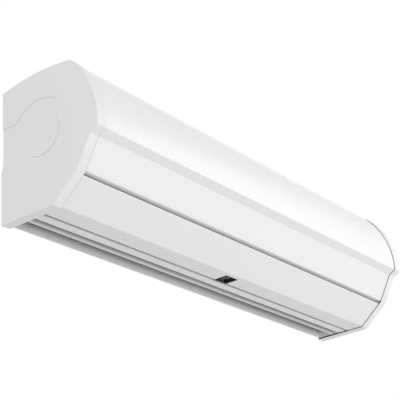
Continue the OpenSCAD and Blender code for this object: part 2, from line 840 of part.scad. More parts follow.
module hub_set_screws() {
    color(STEEL) place() for (s = [-1, 1]) on_side(s) difference() {
        translate([set_screw_x, -fan_d, fan_z + shaft_r + hole_gap]) cylinder(h = 5.4, r = set_screw_r);
        translate([set_screw_x, -fan_d, fan_z + shaft_r + 3.5]) cylinder(h = 3, r = 1, $fn = 6);
    }
}

function blade_section(r0, r1, t, lean) =
    let (n = 4)
    concat(
        [for (i = [0 : n]) let (r = r0 + (r1 - r0) * i / n)
            polar(r, lean * pow(i / n, 2) - asin(t / 2 / r))],
        [for (i = [n : -1 : 0]) let (r = r0 + (r1 - r0) * i / n)
            polar(r, lean * pow(i / n, 2) + asin(t / 2 / r))]);

module rotor(side) {
    rings = 3;
    bay = (rotor_end - disc_x) / (rings + 1);
    lean = 14;
    color(FAN_GREY) place() on_side(side) difference() {
        union() {
            for (x = [disc_x, rotor_end - disc_t])
                rod_x(x, x + disc_t, fan_d, fan_z, fan_r, $fn = 96);
            for (i = [1 : rings]) difference() {
                rod_x(disc_x + i * bay, disc_x + i * bay + ring_t, fan_d, fan_z, fan_r, $fn = 96);
                rod_x(disc_x + i * bay - NUDGE, disc_x + i * bay + ring_t + NUDGE, fan_d, fan_z,
                    fan_r - blade_deep - 2, $fn = 96);
            }
            along_x(disc_x + disc_t / 2, rotor_end - disc_t / 2) translate([fan_d, fan_z])
                for (i = [0 : blade_n - 1]) rotate(360 / blade_n * i)
                    polygon(blade_section(fan_r - blade_deep, fan_r - 0.5, ring_t, lean));
        }
        rod_x(disc_x - NUDGE, disc_x + disc_t + NUDGE, fan_d, fan_z, hub_r + hole_gap);
        rod_x(rotor_end - disc_t - NUDGE, rotor_end + NUDGE, fan_d, fan_z, stub_r + hole_gap);
    }
}

module stub_shaft(side) {
    color(STEEL) place() on_side(side) {
        rod_x(rotor_end - disc_t, stub_end, fan_d, fan_z, stub_r);
        rod_x(rotor_end, rotor_end + stub_flange_t, fan_d, fan_z, stub_flange_r);
    }
}

module end_bearings() {
    color(STEEL) place() for (s = [-1, 1]) on_side(s) difference() {
        rod_x(body_half + 2, body_half + 2 + bearing_w, fan_d, fan_z, bearing_r);
        rod_x(body_half, body_half + 4 + bearing_w, fan_d, fan_z, stub_r + run_gap);
    }
}

module bearing_rubbers() {
    color(DARK) place() for (s = [-1, 1]) on_side(s) difference() {
        rod_x(body_half + 0.1, body_half + housing_deep - 0.1, fan_d, fan_z, rubber_r - press_gap);
        rod_x(body_half - NUDGE, body_half + housing_deep + NUDGE, fan_d, fan_z, bearing_r + press_gap);
    }
}

module bearing_housing(side) {
    end_x = body_half + housing_deep;
    color(ZINC) place() on_side(side) difference() {
        union() {
            rod_x(body_half, body_half + housing_flange_t, fan_d, fan_z, housing_flange_r);
            rod_x(body_half, end_x + case_t, fan_d, fan_z, rubber_r + housing_wall);
        }
        rod_x(body_half - NUDGE, end_x, fan_d, fan_z, rubber_r);
        rod_x(body_half, end_x + case_t + NUDGE, fan_d, fan_z, bearing_r - 3);
        for (a = housing_screw_a) {
            q = [fan_d, fan_z] + polar(housing_screw_r, a);
            rod_x(body_half - NUDGE, body_half + housing_flange_t + NUDGE, q[0], q[1],
                m3_r + hole_gap);
        }
    }
}

// ---- vanes and their linkage ----
link_z = vane_z + link_rise;

// Pivot holes of one vane and the lug that carries its link pin
module vane_bores(d) {
    for (s = [-1, 1]) on_side(s)
        rod_x(vane_half - 10, vane_half + NUDGE, d, vane_z, vane_pin_r + pin_gap);
    rod_x(link_x - NUDGE, link_x + lug_t + NUDGE, d, link_z, link_pin_r + pin_gap);
}

module link_lug(d) {
    along_x(link_x, link_x + lug_t) {
        translate([d - link_half_z, vane_top_z - 2]) square([2 * link_half_z, link_z - vane_top_z + 2]);
        translate([d, link_z]) circle(r = link_half_z);
    }
}

module front_vane() {
    stem = vane_t / 2;
    foot_h = 3.5;
    foot_low = low_z_at(front_vane_d);
    foot_top = foot_low + 2.2 * foot_h;
    color(WHITE) place() difference() {
        union() {
            along_x(-vane_half, vane_half) translate([front_vane_d, 0]) {
                polygon([[-foot_w / 2, foot_low], [foot_w / 2, foot_low],
                    [foot_w / 2, foot_low + foot_h], [stem, foot_top],
                    [stem, vane_top_z], [-stem, vane_top_z],
                    [-stem, foot_top], [-foot_w / 2, foot_low + foot_h]]);
                translate([0, vane_z]) circle(r = bead_r);
            }
            link_lug(front_vane_d);
        }
        vane_bores(front_vane_d);
        for (s = [-1, 1])
            rod_y(lever_x + s * lever_screw_x, front_vane_d - stem - NUDGE,
                front_vane_d + stem + NUDGE, lever_screw_z, m3_r + hole_gap);
    }
}

module rear_vane() {
    low = low_z_at(rear_vane_d);
    edge = 0.8;                           // half thickness of the vane's lower edge
    color(WHITE) place() difference() {
        union() {
            along_x(-vane_half, vane_half) translate([rear_vane_d, 0]) {
                polygon([[-edge, low], [edge, low], [vane_t / 2, vane_z],
                    [vane_t / 2, vane_top_z], [-vane_t / 2, vane_top_z], [-vane_t / 2, vane_z]]);
                translate([0, vane_z]) circle(r = bead_r);
            }
            link_lug(rear_vane_d);
        }
        vane_bores(rear_vane_d);
    }
}

module vane_pins(d) {
    color(STEEL) place() for (s = [-1, 1]) on_side(s)
        rod_x(vane_half - 9.5, body_half + 3, d, vane_z, vane_pin_r);
}

module vane_bushes() {
    color(DARK) place() for (s = [-1, 1], d = [front_vane_d, rear_vane_d]) on_side(s) difference() {
        union() {
            rod_x(plate_x - 0.9, body_half + 1.5, d, vane_z, bush_r);
            rod_x(body_half, body_half + 1.5, d, vane_z, bush_r + 1.5);
        }
        rod_x(plate_x - 2, body_half + 3, d, vane_z, vane_pin_r + run_gap);
    }
}

module vane_link() {
    x0 = link_x + lug_t + 0.1;
    color(ZINC) place() difference() {
        along_x(x0, x0 + lug_t) {
            translate([rear_vane_d, link_z - link_half_z])
                square([front_vane_d - rear_vane_d, 2 * link_half_z]);
            for (d = [front_vane_d, rear_vane_d]) translate([d, link_z]) circle(r = link_half_z);
        }
        for (d = [front_vane_d, rear_vane_d])
            rod_x(x0 - NUDGE, x0 + lug_t + NUDGE, d, link_z, link_pin_r + run_gap);
    }
}

module link_pin(d) {
    x1 = link_x + 2 * lug_t + 0.3;
    color(STEEL) place() {
        rod_x(link_x - 0.5, x1, d, link_z, link_pin_r);
        rod_x(x1, x1 + 1, d, link_z, link_pin_r + 1);
        rod_x(link_x - 1.1, link_x - 0.1, d, link_z, link_pin_r + 1);
    }
}

lever_screw_z = vane_z + 10.5;
lever_foot_d = front_vane_d + vane_t / 2;

module louvre_lever() {
    arm_half = 3;
    arm_z0 = rim_low + 4.5;
    arm_z1 = arm_z0 + 4;
    pad_d = outlet_d + 6.5;
    tip_d = pad_d + 10;
    foot_half = 7;
    foot_t = 2;
    foot_z0 = vane_z + 4.5;
    foot_z1 = vane_z + 14.5;
    riser_d = lever_foot_d + foot_t;
    riser_t = 3;
    ridge = 1;
    color(DARK) place() difference() {
        union() {
            // foot on the vane, above its bead
            box(lever_x - foot_half, lever_x + foot_half, lever_foot_d, riser_d, foot_z0, foot_z1);
            // riser in front of the bead, joined to the foot and to the arm
            box(lever_x - arm_half, lever_x + arm_half, riser_d, riser_d + riser_t, arm_z0, foot_z1);
            // arm out to the finger pad
            box(lever_x - arm_half, lever_x + arm_half, riser_d, tip_d, arm_z0, arm_z1);
            box(lever_x - lever_w / 2, lever_x + lever_w / 2, pad_d, tip_d, arm_z0, arm_z1);
            // grip ridges under the pad
            for (i = [0 : 2]) translate([0, -(pad_d + ridge * (1.5 + 3 * i)), 0])
                box(lever_x - lever_w / 2, lever_x + lever_w / 2, 0, ridge, arm_z0 - 0.8, arm_z0);
        }
        for (s = [-1, 1])
            rod_y(lever_x + s * lever_screw_x, lever_foot_d - NUDGE, riser_d + NUDGE,
                lever_screw_z, m3_r + hole_gap);
    }
}

module lever_screws() {
    color(STEEL) place() for (s = [-1, 1])
        screw_y(lever_x + s * lever_screw_x, lever_screw_z, lever_foot_d + 2,
            front_vane_d - vane_t / 2, m3_r, 2, m3_head_h);
}

module lever_pocket() {
    w = pocket_w / 2;
    d0 = outlet_d + fit_gap;
    d1 = outlet_d + pocket_deep;
    top = pocket_top;
    wall = pocket_wall;
    rim = rim_low + skin + fit_gap;
    slit = 2;
    color(DARK) place() difference() {
        union() {
            box(-pocket_half_out, pocket_half_out, d0, d1 + wall, rim, top + wall);
            along_x(-w + fit_gap, w - fit_gap) intersection() {
                outline(rim_front, rim_low, rim_top);
                depth_band(d0, d1 - fit_gap);
                height_band(0, rim + NUDGE);
            }
        }
        box(-w + wall, w - wall, d0 + wall, d1 - wall, 0, top);
        box(lever_x - 3 - slit, lever_x + 3 + slit, d0 - NUDGE, d0 + wall + NUDGE, 0, top);
    }
}

// ---- electrical parts ----
module capacitor() {
    x1 = capacitor_x + capacitor_l;
    color([0.82, 0.83, 0.84]) place() {
        rod_x(capacitor_x, x1, capacitor_d, capacitor_z, cap_r);
        for (s = [-1, 1]) rod_x(x1, x1 + post_l, capacitor_d, capacitor_z + s * post_dz, 1.5);
    }
}

module capacitor_clip() {
    xm = capacitor_x + capacitor_l / 2;
    half_w = 6;
    foot_h = 12;
    foot_z = capacitor_z - cap_r - foot_h;
    color(ZINC) place() difference() {
        union() {
            rod_x(xm - half_w, xm + half_w, capacitor_d, capacitor_z, cap_r + 1.2);
            box(xm - half_w, xm + half_w, duct_d, duct_d + case_t, foot_z, capacitor_z);
        }
        rod_x(xm - half_w - NUDGE, xm + half_w + NUDGE, capacitor_d, capacitor_z, cap_r + hole_gap);
    }
}

module terminal_block() {
    ways = 4;
    pitch = block_l / ways;
    color([0.88, 0.87, 0.82]) place() difference() {
        box(block_x0, block_x0 + block_l, duct_d, duct_d + block_deep, block_z0, block_z0 + block_h);
        for (i = [0 : ways - 1]) {
            x = block_x0 + pitch * (i + 0.5);
            for (z = [block_z0 + 5, block_z0 + block_h - 5])
                rod_y(x, duct_d + 6, duct_d + block_deep + NUDGE, z, 2.2);
            translate([x, -duct_d - 5, block_z0 - NUDGE]) cylinder(h = 6, r = 1.8);
        }
    }
}

module terminal_cover() {
    g = 0.3;
    d1 = duct_d + block_deep + g;
    color([0.85, 0.86, 0.87]) place() {
        box(block_x0 - g - cover_t, block_x0 + block_l + g + cover_t, d1, d1 + cover_t,
            block_z0 + 1, block_z0 + block_h + g + cover_t);
        for (x = [block_x0 - g - cover_t, block_x0 + block_l + g])
            box(x, x + cover_t, duct_d, d1 + cover_t, block_z0 + 8, block_z0 + block_h + g + cover_t);
        box(block_x0 - g - cover_t, block_x0 + block_l + g + cover_t, duct_d, d1 + cover_t,
            block_z0 + block_h + g, block_z0 + block_h + g + cover_t);
    }
}

module earth_stud() {
    color([0.78, 0.62, 0.3]) place() {
        rod_y(stud_x, case_d, duct_d + 14, stud_z, stud_r);
        for (d = [duct_d, duct_d + 5]) rod_y(stud_x, d, d + 3.5, stud_z, 4.6, $fn = 6);
    }
}

// A lead along its points, with a small bead of heat-shrink at each bend
module wire_run(points, r) {
    bead = 0.5;
    for (i = [0 : len(points) - 2]) {
        p = points[i];
        run = points[i + 1] - p;
        translate(p)
            rotate([0, acos(run[2] / norm(run)), atan2(run[1], run[0])])
                cylinder(h = norm(run), r = r, $fn = 32);
        if (i > 0) translate(p) sphere(r = r + bead, $fn = 32);
    }
}

module motor_wires() {
    exit = [10, -lead_box_d, (lead_box_z0 + lead_box_z1) / 2];
    ease = [0, 14, 0];
    post_x = capacitor_x + capacitor_l + post_l + fit_gap;
    post_z = capacitor_z + post_dz;
    for_block = [exit, exit + ease, [10, -wire_d, wire_z], [block_x0 - 16, -wire_d, wire_z],
        [block_x0 - 16, -wire_d + 4, block_z0 + 8], [block_x0 - 2, -wire_d + 4, block_z0 + 6]];
    start = [-10, exit[1], exit[2]];
    for_capacitor = [start, start + ease, [-10, -wire_d, wire_z], [post_x + 16, -wire_d, wire_z],
        [post_x + 8, -capacitor_d, post_z], [post_x, -capacitor_d, post_z]];
    color([0.25, 0.25, 0.28]) place() {
        wire_run(for_block, wire_r);
        wire_run(for_capacitor, wire_r);
    }
}

module cable_grommet() {
    color(DARK) place() difference() {
        union() {
            rod_y(grommet_x, case_d - 1.2, duct_d + 3, grommet_z, grommet_r - press_gap);
            rod_y(grommet_x, duct_d, duct_d + 2, grommet_z, grommet_r + 2.5);
        }
        rod_y(grommet_x, -NUDGE, duct_d + 4, grommet_z, cable_r);
    }
}

// ---- fasteners ----
module frame_screw_places() {
    for (s = [-1, 1], z = tab_z)
        translate([s * (plate_x - tab_l / 2), 0, z + tab_h / 2]) children();
    for (s = [-1, 1], z = plate_tab_z)
        translate([s * (bay_half - tab_l / 2), 0, z + tab_h / 2]) children();
}

module frame_screws() {
    color(STEEL) place() frame_screw_places()
        screw_y(0, 0, duct_d + fit_gap + case_t, case_d, m4_r, m4_head_r, m4_head_h);
}

module cap_screws() {
    color(STEEL) place() for (s = [-1, 1]) on_side(s) for (p = cap_screw_pts)
        screw_x(plate_x, body_half + cap_boss_l - 2, p[0], p[1], m3_r, m3_head_r, m3_head_h);
}

module motor_screws() {
    color(STEEL) place() {
        cradle_screw_places() screw_y(0, 0, duct_d + cradle_t, case_d, m4_r, m4_head_r, m4_head_h);
        for (s = [-1, 1], sz = [-1, 1])
            screw_y(s * strap_screw_x, fan_z + sz * strap_screw_z, fan_d + strap_t, fan_d - 11,
                m3_r, m3_head_r, m3_head_h);
    }
}

module housing_screws() {
    color(STEEL) place() for (s = [-1, 1]) on_side(s) for (a = housing_screw_a) {
        q = [fan_d, fan_z] + polar(housing_screw_r, a);
        screw_x(body_half + housing_flange_t, plate_x, q[0], q[1], m3_r, m3_head_r, m3_head_h);
    }
}

module lock_screws() {
    color(STEEL) place() for (s = [-1, 1])
        screw_y(s * lock_x, lock_z, duct_d, 0.2, m4_r, m4_head_r, m4_head_h);
}

wall_plate();
rear_casing();
top_intake_grille();
top_front_rail();
upper_front_cover();
middle_front_panel();
groove_rail();
lower_front_panel();
end_cap(-1);  // left_end_cap
end_cap(1);  // right_end_cap
bulkhead(-1);  // left_bulkhead
bulkhead(1);  // right_bulkhead
motor_plate(-1);  // left_motor_plate
motor_plate(1);  // right_motor_plate
scroll(-1);  // left_scroll
scroll(1);  // right_scroll
tongue(-1);  // left_tongue
tongue(1);  // right_tongue
bay_baffle();
motor_body();
motor_cradle();
motor_rubber_rings();
motor_straps();
motor_shaft();
hub(-1);  // left_hub
hub(1);  // right_hub
rotor(-1);  // left_rotor
rotor(1);  // right_rotor
hub_set_screws();
stub_shaft(-1);  // left_stub_shaft
stub_shaft(1);  // right_stub_shaft
end_bearings();
bearing_rubbers();
bearing_housing(-1);  // left_bearing_housing
bearing_housing(1);  // right_bearing_housing
front_vane();
rear_vane();
vane_pins(front_vane_d);  // front_vane_pins
vane_pins(rear_vane_d);  // rear_vane_pins
vane_bushes();
vane_link();
link_pin(front_vane_d);  // front_link_pin
link_pin(rear_vane_d);  // rear_link_pin
louvre_lever();
lever_screws();
lever_pocket();
capacitor();
capacitor_clip();
terminal_block();
terminal_cover();
earth_stud();
motor_wires();
cable_grommet();
cap_screws();
frame_screws();
motor_screws();
housing_screws();
lock_screws();
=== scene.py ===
"""Looks of a wall-hung air curtain, built round its packed construction model.

The white shell, the vanes and the lever with its pocket are modelled here. The parts inside keep
their construction meshes. Every surface gets a procedural finish. Sections are worked out as
(distance from the wall, height above the caps' lower front corner), in metres.
"""

import logging
import math
from dataclasses import dataclass, field
from enum import Enum
from typing import Callable, Sequence

import bmesh
import bpy
from mathutils import Matrix, Vector


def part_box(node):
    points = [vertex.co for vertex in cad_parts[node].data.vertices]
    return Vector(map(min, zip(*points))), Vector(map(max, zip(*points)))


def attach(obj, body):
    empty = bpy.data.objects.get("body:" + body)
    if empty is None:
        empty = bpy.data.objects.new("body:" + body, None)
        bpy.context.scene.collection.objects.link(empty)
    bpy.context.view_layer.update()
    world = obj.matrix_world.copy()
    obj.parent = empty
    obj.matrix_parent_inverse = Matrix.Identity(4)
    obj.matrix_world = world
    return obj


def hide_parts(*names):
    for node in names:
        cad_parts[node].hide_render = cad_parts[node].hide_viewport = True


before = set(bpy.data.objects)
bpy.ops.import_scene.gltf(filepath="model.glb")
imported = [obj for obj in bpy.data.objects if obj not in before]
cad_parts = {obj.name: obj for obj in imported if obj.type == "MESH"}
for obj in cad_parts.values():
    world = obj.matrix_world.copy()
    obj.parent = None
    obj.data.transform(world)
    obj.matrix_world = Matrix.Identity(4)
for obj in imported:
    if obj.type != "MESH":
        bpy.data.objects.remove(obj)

log = logging.getLogger("air_curtain")

MM = 0.001
CLEAR = 5 * MM  # how far a cutter runs past the face that it opens
NEAR = 1e-6  # places closer than this are the same
SMOOTH_TURN = 28.0  # degrees up to which two faces are shaded as one surface
Point = Vector
Place = tuple[float, float, float]
Colour = tuple[float, float, float, float]


class Body(Enum):
    """The bodies of the construction model that new pieces ride on."""

    CASING = "casing"
    FRONT_VANE = "front_vane"
    REAR_VANE = "rear_vane"


class Part(Enum):
    """The parts of a mesh that a test can pick."""

    VERT = "VERT"
    EDGE = "EDGE"
    FACE = "FACE"


class Merger(Enum):
    """What becomes of two pieces that are made one."""

    CUT = "DIFFERENCE"
    JOIN = "UNION"


# ---------------------------------------------------------------- section


def left_of(v: Point) -> Point:
    """A section direction turned a quarter turn to the left."""
    return Vector((-v.y, v.x))


def inset_corner(before: Point, corner: Point, after: Point, inset: float, next_inset: float) -> Point:
    """Moves a corner in with its two edges.

    Args:
        before: Point before the corner.
        corner: The corner.
        after: Point after the corner.
        inset: How far the edge before the corner moves in.
        next_inset: How far the edge after the corner moves in.

    Returns:
        The corner of the moved edges.
    """
    n1 = left_of((corner - before).normalized())
    n2 = left_of((after - corner).normalized())
    cross = n1.x * n2.y - n1.y * n2.x
    return corner + Vector((inset * n2.y - next_inset * n1.y, next_inset * n1.x - inset * n2.x)) / cross


def rounded(points: Sequence[Point], radius: float, steps: int = 5, least: float = 0.2) -> list[Point]:
    """Rounds the corners of an open path.

    Args:
        points: The path's points.
        radius: Radius of each corner, limited by the runs beside it.
        steps: Segments of one corner.
        least: Turn in radians under which a corner stays as it is.

    Returns:
        The path with arcs in place of its corners.
    """
    path = [points[0]]
    most = 0.45  # share of a run that one corner may take, so that two corners don't meet
    for before, corner, after in zip(points, points[1:], points[2:]):
        a, b = (before - corner), (after - corner)
        turn = math.pi - a.angle(b)
        if turn < least:
            path.append(corner)
            continue
        reach = min(radius * math.tan(turn / 2), a.length * most, b.length * most)
        start, end = corner + a.normalized() * reach, corner + b.normalized() * reach
        for i in range(steps + 1):
            t = i / steps
            path.append(start.lerp(corner, t).lerp(corner.lerp(end, t), t))
    return path + [points[-1]]


def arc(centre: Point, start: Point, end: Point, steps: int) -> list[Point]:
    """Points of the shorter arc round a centre, from start to end.

    Args:
        centre: The arc's centre.
        start: Its first point, which sets the radius.
        end: Where it ends.
        steps: Number of its segments.

    Returns:
        The arc's points, both ends included.
    """
    a, b = (p - centre for p in (start, end))
    first = math.atan2(a.y, a.x)
    sweep = (math.atan2(b.y, b.x) - first + math.pi) % math.tau - math.pi
    turns = (first + sweep * i / steps for i in range(steps + 1))
    return [centre + Vector((math.cos(t), math.sin(t))) * a.length for t in turns]


@dataclass(frozen=True)
class Section:
    """Outline of the unit's section, with the depths that its body is set back by.

    The datum is the height of the part's origin over the caps' lower front corner. A setback counts
    from the unit's front, and a bulge is how far the middle of an arc stands off its chord.
    """

    datum: float
    deep: float = 187.8 * MM
    height: float = 217.3 * MM
    back_drop: float = 8.5 * MM
    fall: float = 3.7 * MM
    lip_setback: float = 86.6 * MM
    nose_setback: float = 39.5 * MM
    nose_z: float = 40.4 * MM
    step_setback: float = 13.4 * MM
    step_z: float = 88.7 * MM
    step_h: float = 8.1 * MM
    crown_setback: float = 48.7 * MM
    front_bulge: float = 14.4 * MM
    crown_bulge: float = 7.2 * MM
    rim_front: float = 1.8 * MM
    rim_low: float = 2.2 * MM
    rim_top: float = 2 * MM
    arc_steps: int = 28
    crown_rounds: int = 20

    def corners(self) -> list[Point]:
        """Corners of the end caps, anticlockwise from the bottom at the wall up to the step's brow.

        Returns:
            The five corners.
        """
        return [
            Vector((0, -self.fall)),
            Vector((self.deep - self.lip_setback, 0)),
            Vector((self.deep - self.nose_setback, self.nose_z)),
            Vector((self.deep - self.step_setback, self.step_z)),
            self.brow,
        ]

    @property
    def brow(self) -> Point:
        """Corner where the step meets the curved front."""
        return Vector((self.deep, self.step_z + self.step_h))

    @property
    def crown(self) -> Point:
        """Front top corner."""
        return Vector((self.deep - self.crown_setback, self.height))

    @property
    def back(self) -> Point:
        """Top corner at the wall."""
        return Vector((0, self.height - self.back_drop))

    def bow(self, start: Point, end: Point, bulge: float) -> tuple[Point, float]:
        """Centre and radius of the arc that bulges out over a chord.

        Args:
            start: Start of the chord.
            end: End of the chord.
            bulge: How far the arc's middle stands off the chord.

        Returns:
            The arc's centre and radius.
        """
        half = (end - start).length / 2
        radius = (half * half + bulge * bulge) / (2 * bulge)
        return (start + end) / 2 + left_of((end - start).normalized()) * (radius - bulge), radius

    def front_arc(self, inset: float) -> tuple[Point, float]:
        """Centre and radius of the curved front, moved in."""
        centre, radius = self.bow(self.brow, self.crown, self.front_bulge)
        return centre, radius - inset

    def crown_arc(self, inset: float) -> tuple[Point, float]:
        """Centre and radius of the curved top, moved in."""
        centre, radius = self.bow(self.crown, self.back, self.crown_bulge)
        return centre, radius - inset

    def low_z(self, d: float, inset: float) -> float:
        """Height of the sloping bottom at a distance from the wall."""
        return inset - self.fall * (1 - d / (self.deep - self.lip_setback))

    def front_d(self, z: float, inset: float) -> float:
        """Distance from the wall of the curved front at a height."""
        centre, radius = self.front_arc(inset)
        return centre.x + math.sqrt(radius**2 - (z - centre.y) ** 2)

    def top_z(self, d: float, inset: float) -> float:
        """Height of the curved top at a distance from the wall."""
        centre, radius = self.crown_arc(inset)
        return centre.y + math.sqrt(radius**2 - (d - centre.x) ** 2)

    def lower_corners(self, front: float, low: float) -> list[Point]:
        """The lip, nose, step and brow corners, with the front and the bottom moved in.

        Args:
            front: How far the front faces are moved in.
            low: How far the bottom is moved in.

        Returns:
            The lip, nose, step and brow corners.
        """
        pts = self.corners()
        lip, nose, step = (
            inset_corner(pts[i - 1], pts[i], pts[i + 1], low if i == 1 else front, front) for i in (1, 2, 3)
        )
        centre, radius = self.front_arc(front)
        way = (pts[4] - pts[3]).normalized()
        off = step - centre
        reach = -off.dot(way) + math.sqrt(off.dot(way) ** 2 - off.length_squared + radius**2)
        return [lip, nose, step, step + way * reach]

    def crown_corner(self, front: float, top: float) -> Point:
        """Front top corner with the front and the top moved in, found in a few rounds.

        Args:
            front: How far the curved front is moved in.
            top: How far the curved top is moved in.

        Returns:
            The corner where the two arcs meet.
        """
        z = self.height - top
        for _ in range(self.crown_rounds):
            z = self.top_z(self.front_d(z, front), top)
        return Vector((self.front_d(z, front), z))

    def outline(self, front: float, low: float, top: float, back: float = 0.0) -> list[Point]:
        """Closed outline, anticlockwise from the bottom at the wall.

        Args:
            front: How far the front faces are moved in.
            low: How far the bottom is moved in.
            top: How far the curved top is moved in.
            back: How far the back is moved in.

        Returns:
            The outline's points.
        """
        lower = self.lower_corners(front, low)
        crown = self.crown_corner(front, top)
        rear = Vector((back, self.top_z(back, top)))
        curved_front = arc(self.front_arc(front)[0], lower[3], crown, self.arc_steps)
        curved_top = arc(self.crown_arc(top)[0], crown, rear, self.arc_steps)
        return [Vector((back, self.low_z(back, low))), *lower[:3], *curved_front, *curved_top[1:]]

    def body(self, inset: float = 0.0) -> list[Point]:
        """The lip, nose, step and brow corners of the body, moved in from the panels' outer face."""
        return self.lower_corners(self.rim_front + inset, self.rim_low + inset)

    def face_d(self, z: float, inset: float = 0.0) -> float:
        """Distance from the wall of the body's flat front faces at a height.

        Args:
            z: Height on the lower or the middle face.
            inset: How far the body is moved in.

        Returns:
            The face's distance from the wall.
        """
        lip, nose, step, _ = self.body(inset)
        a, b = (lip, nose) if z < nose.y else (nose, step)
        return a.x + (b.x - a.x) * (z - a.y) / (b.y - a.y)


@dataclass(frozen=True)
class Outlet:
    """Sizes and places at the outlet that the panels, the vanes and the lever share."""

    skin: float = 1.5 * MM
    front_d: float = 67 * MM
    front_vane_d: float = 55 * MM
    vane_t: float = 3 * MM
    pivot_z: float = 22 * MM
    pocket_half: float = 17 * MM
    pocket_deep: float = 26 * MM
    pocket_corner: float = 1.2 * MM


# ---------------------------------------------------------------- bench


def upright(edge: bmesh.types.BMEdge) -> bool:
    """True on an edge that rises."""
    return abs(edge.verts[0].co.z - edge.verts[1].co.z) > MM


@dataclass
class Work:
    """One piece in the making, shaped with Blender's own operators."""

    name: str
    section: Section
    thing: bpy.types.Object = field(init=False)

    def take(self) -> "Work":
        """Makes the newest primitive this piece, with its place in its mesh.

        Returns:
            This piece.
        """
        self.thing = bpy.context.object
        self.thing.name = self.name
        self.thing.data.name = self.name
        bpy.ops.object.transform_apply(location=True, rotation=True, scale=True)
        return self

    def alone(self) -> bpy.types.Object:
        """Selects this piece and nothing else.

        Returns:
            The piece's object.
        """
        bpy.ops.object.select_all(action="DESELECT")
        self.thing.select_set(True)
        bpy.context.view_layer.objects.active = self.thing
        return self.thing

    def spot(self, x: float, point: Point) -> Vector:
        """A section point at a place along the unit, in the part's frame."""
        return Vector((x, -point.x, point.y - self.section.datum))

    def block(self, x: Sequence[float], d: Sequence[float], z: Sequence[float]) -> "Work":
        """Starts from a block between two places along the unit, two depths and two heights.

        Args:
            x: The block's two ends along the unit.
            d: Its two distances from the wall.
            z: Its two heights.

        Returns:
            This piece.
        """
        low, high = self.spot(x[0], Vector((d[1], z[0]))), self.spot(x[1], Vector((d[0], z[1])))
        bpy.ops.object.select_all(action="DESELECT")
        bpy.ops.mesh.primitive_cube_add(size=1, location=(low + high) / 2, scale=high - low)
        return self.take()

    def rod(self, start: Vector, end: Vector, radius: float, sides: int) -> "Work":
        """Starts from a rod between two points of the part's frame.

        Args:
            start: Centre of one end, in the part's frame.
            end: Centre of the other end.
            radius: The rod's radius.
            sides: Number of its flat sides.

        Returns:
            This piece.
        """
        run = end - start
        turn = run.to_track_quat("Z", "Y").to_euler()
        bpy.ops.object.select_all(action="DESELECT")
        bpy.ops.mesh.primitive_cylinder_add(
            vertices=sides, radius=radius, depth=run.length, location=(start + end) / 2, rotation=turn
        )
        return self.take()

    def sheet(self, path: Sequence[Point], x: Sequence[float], thickness: float) -> "Work":
        """Starts from a plane's edge, drawn out along a path and thickened to the path's left.

        Args:
            path: Section points of the outer face, with the outside on the right of the way.
            x: The sheet's two ends along the unit.
            thickness: Thickness of the sheet.

        Returns:
            This piece.
        """
        self.draw(path, x)
        self.modify("SOLIDIFY", thickness=thickness, offset=-1, use_even_offset=True)
        return self.clean()

    def bar(self, outline: Sequence[Point], x: Sequence[float]) -> "Work":
        """Starts from a closed outline, anticlockwise, drawn out into a bar between two places.

        Args:
            outline: Section points, anticlockwise.
            x: The bar's two ends along the unit.

        Returns:
            This piece.
        """
        self.draw([*outline, outline[0]], x)
        bpy.ops.object.mode_set(mode="EDIT")
        bpy.ops.mesh.select_all(action="SELECT")
        bpy.ops.mesh.remove_doubles(threshold=NEAR)
        bpy.ops.mesh.fill_holes(sides=0)
        bpy.ops.object.mode_set(mode="OBJECT")
        return self.clean()

    def draw(self, path: Sequence[Point], x: Sequence[float]) -> None:
        """Draws a plane's edge, laid along the unit, through the points of a path.

        Args:
            path: Section points.
            x: The strip's two ends along the unit.
        """
        start = self.spot((x[0] + x[1]) / 2, path[0])
        half = 0.5  # half of the plane's side, whose near edge is the one that is kept
        bpy.ops.object.select_all(action="DESELECT")
        bpy.ops.mesh.primitive_plane_add(size=2 * half, location=start + Vector((0, half, 0)))
        bpy.context.object.scale = (x[1] - x[0], 1, 1)
        self.take()
        self.pick(Part.VERT, lambda v: v.co.y > start.y + half)
        bpy.ops.mesh.delete(type="VERT")
        bpy.ops.mesh.select_all(action="SELECT")
        for a, b in zip(path, path[1:]):
            step = self.spot(0, b) - self.spot(0, a)
            bpy.ops.mesh.extrude_region_move(TRANSFORM_OT_translate={"value": step})
        bpy.ops.object.mode_set(mode="OBJECT")
        outward = self.spot(0, path[0] - left_of(path[1] - path[0])) - self.spot(0, path[0])
        if self.thing.data.polygons[0].normal.dot(outward) < 0:
            self.pick(Part.FACE, lambda f: True)
            bpy.ops.mesh.flip_normals()
            bpy.ops.object.mode_set(mode="OBJECT")

    def pick(self, kind: Part, wanted: Callable[..., bool]) -> None:
        """Opens edit mode with just the wanted vertices, edges or faces selected.

        Args:
            kind: Which parts of the mesh are tested.
            wanted: Test that says yes to the parts to select.
        """
        self.alone()
        bpy.ops.object.mode_set(mode="EDIT")
        bpy.ops.mesh.select_mode(type=kind.value)
        bpy.ops.mesh.select_all(action="DESELECT")
        mesh = bmesh.from_edit_mesh(self.thing.data)
        for part in {Part.VERT: mesh.verts, Part.EDGE: mesh.edges, Part.FACE: mesh.faces}[kind]:
            if wanted(part):
                part.select_set(True)
        mesh.select_flush_mode()
        bmesh.update_edit_mesh(self.thing.data)

    def round_edges(self, width: float, wanted: Callable[..., bool], segments: int = 3) -> "Work":
        """Rounds the edges that a test picks.

        Args:
            width: How far the rounding reaches from an edge.
            wanted: Test that says yes to the edges to round.
            segments: Segments across the rounding.

        Returns:
            This piece.
        """
        self.pick(Part.EDGE, wanted)
        bpy.ops.mesh.bevel(offset=width, segments=segments, affect="EDGES", clamp_overlap=True)
        bpy.ops.object.mode_set(mode="OBJECT")
        return self

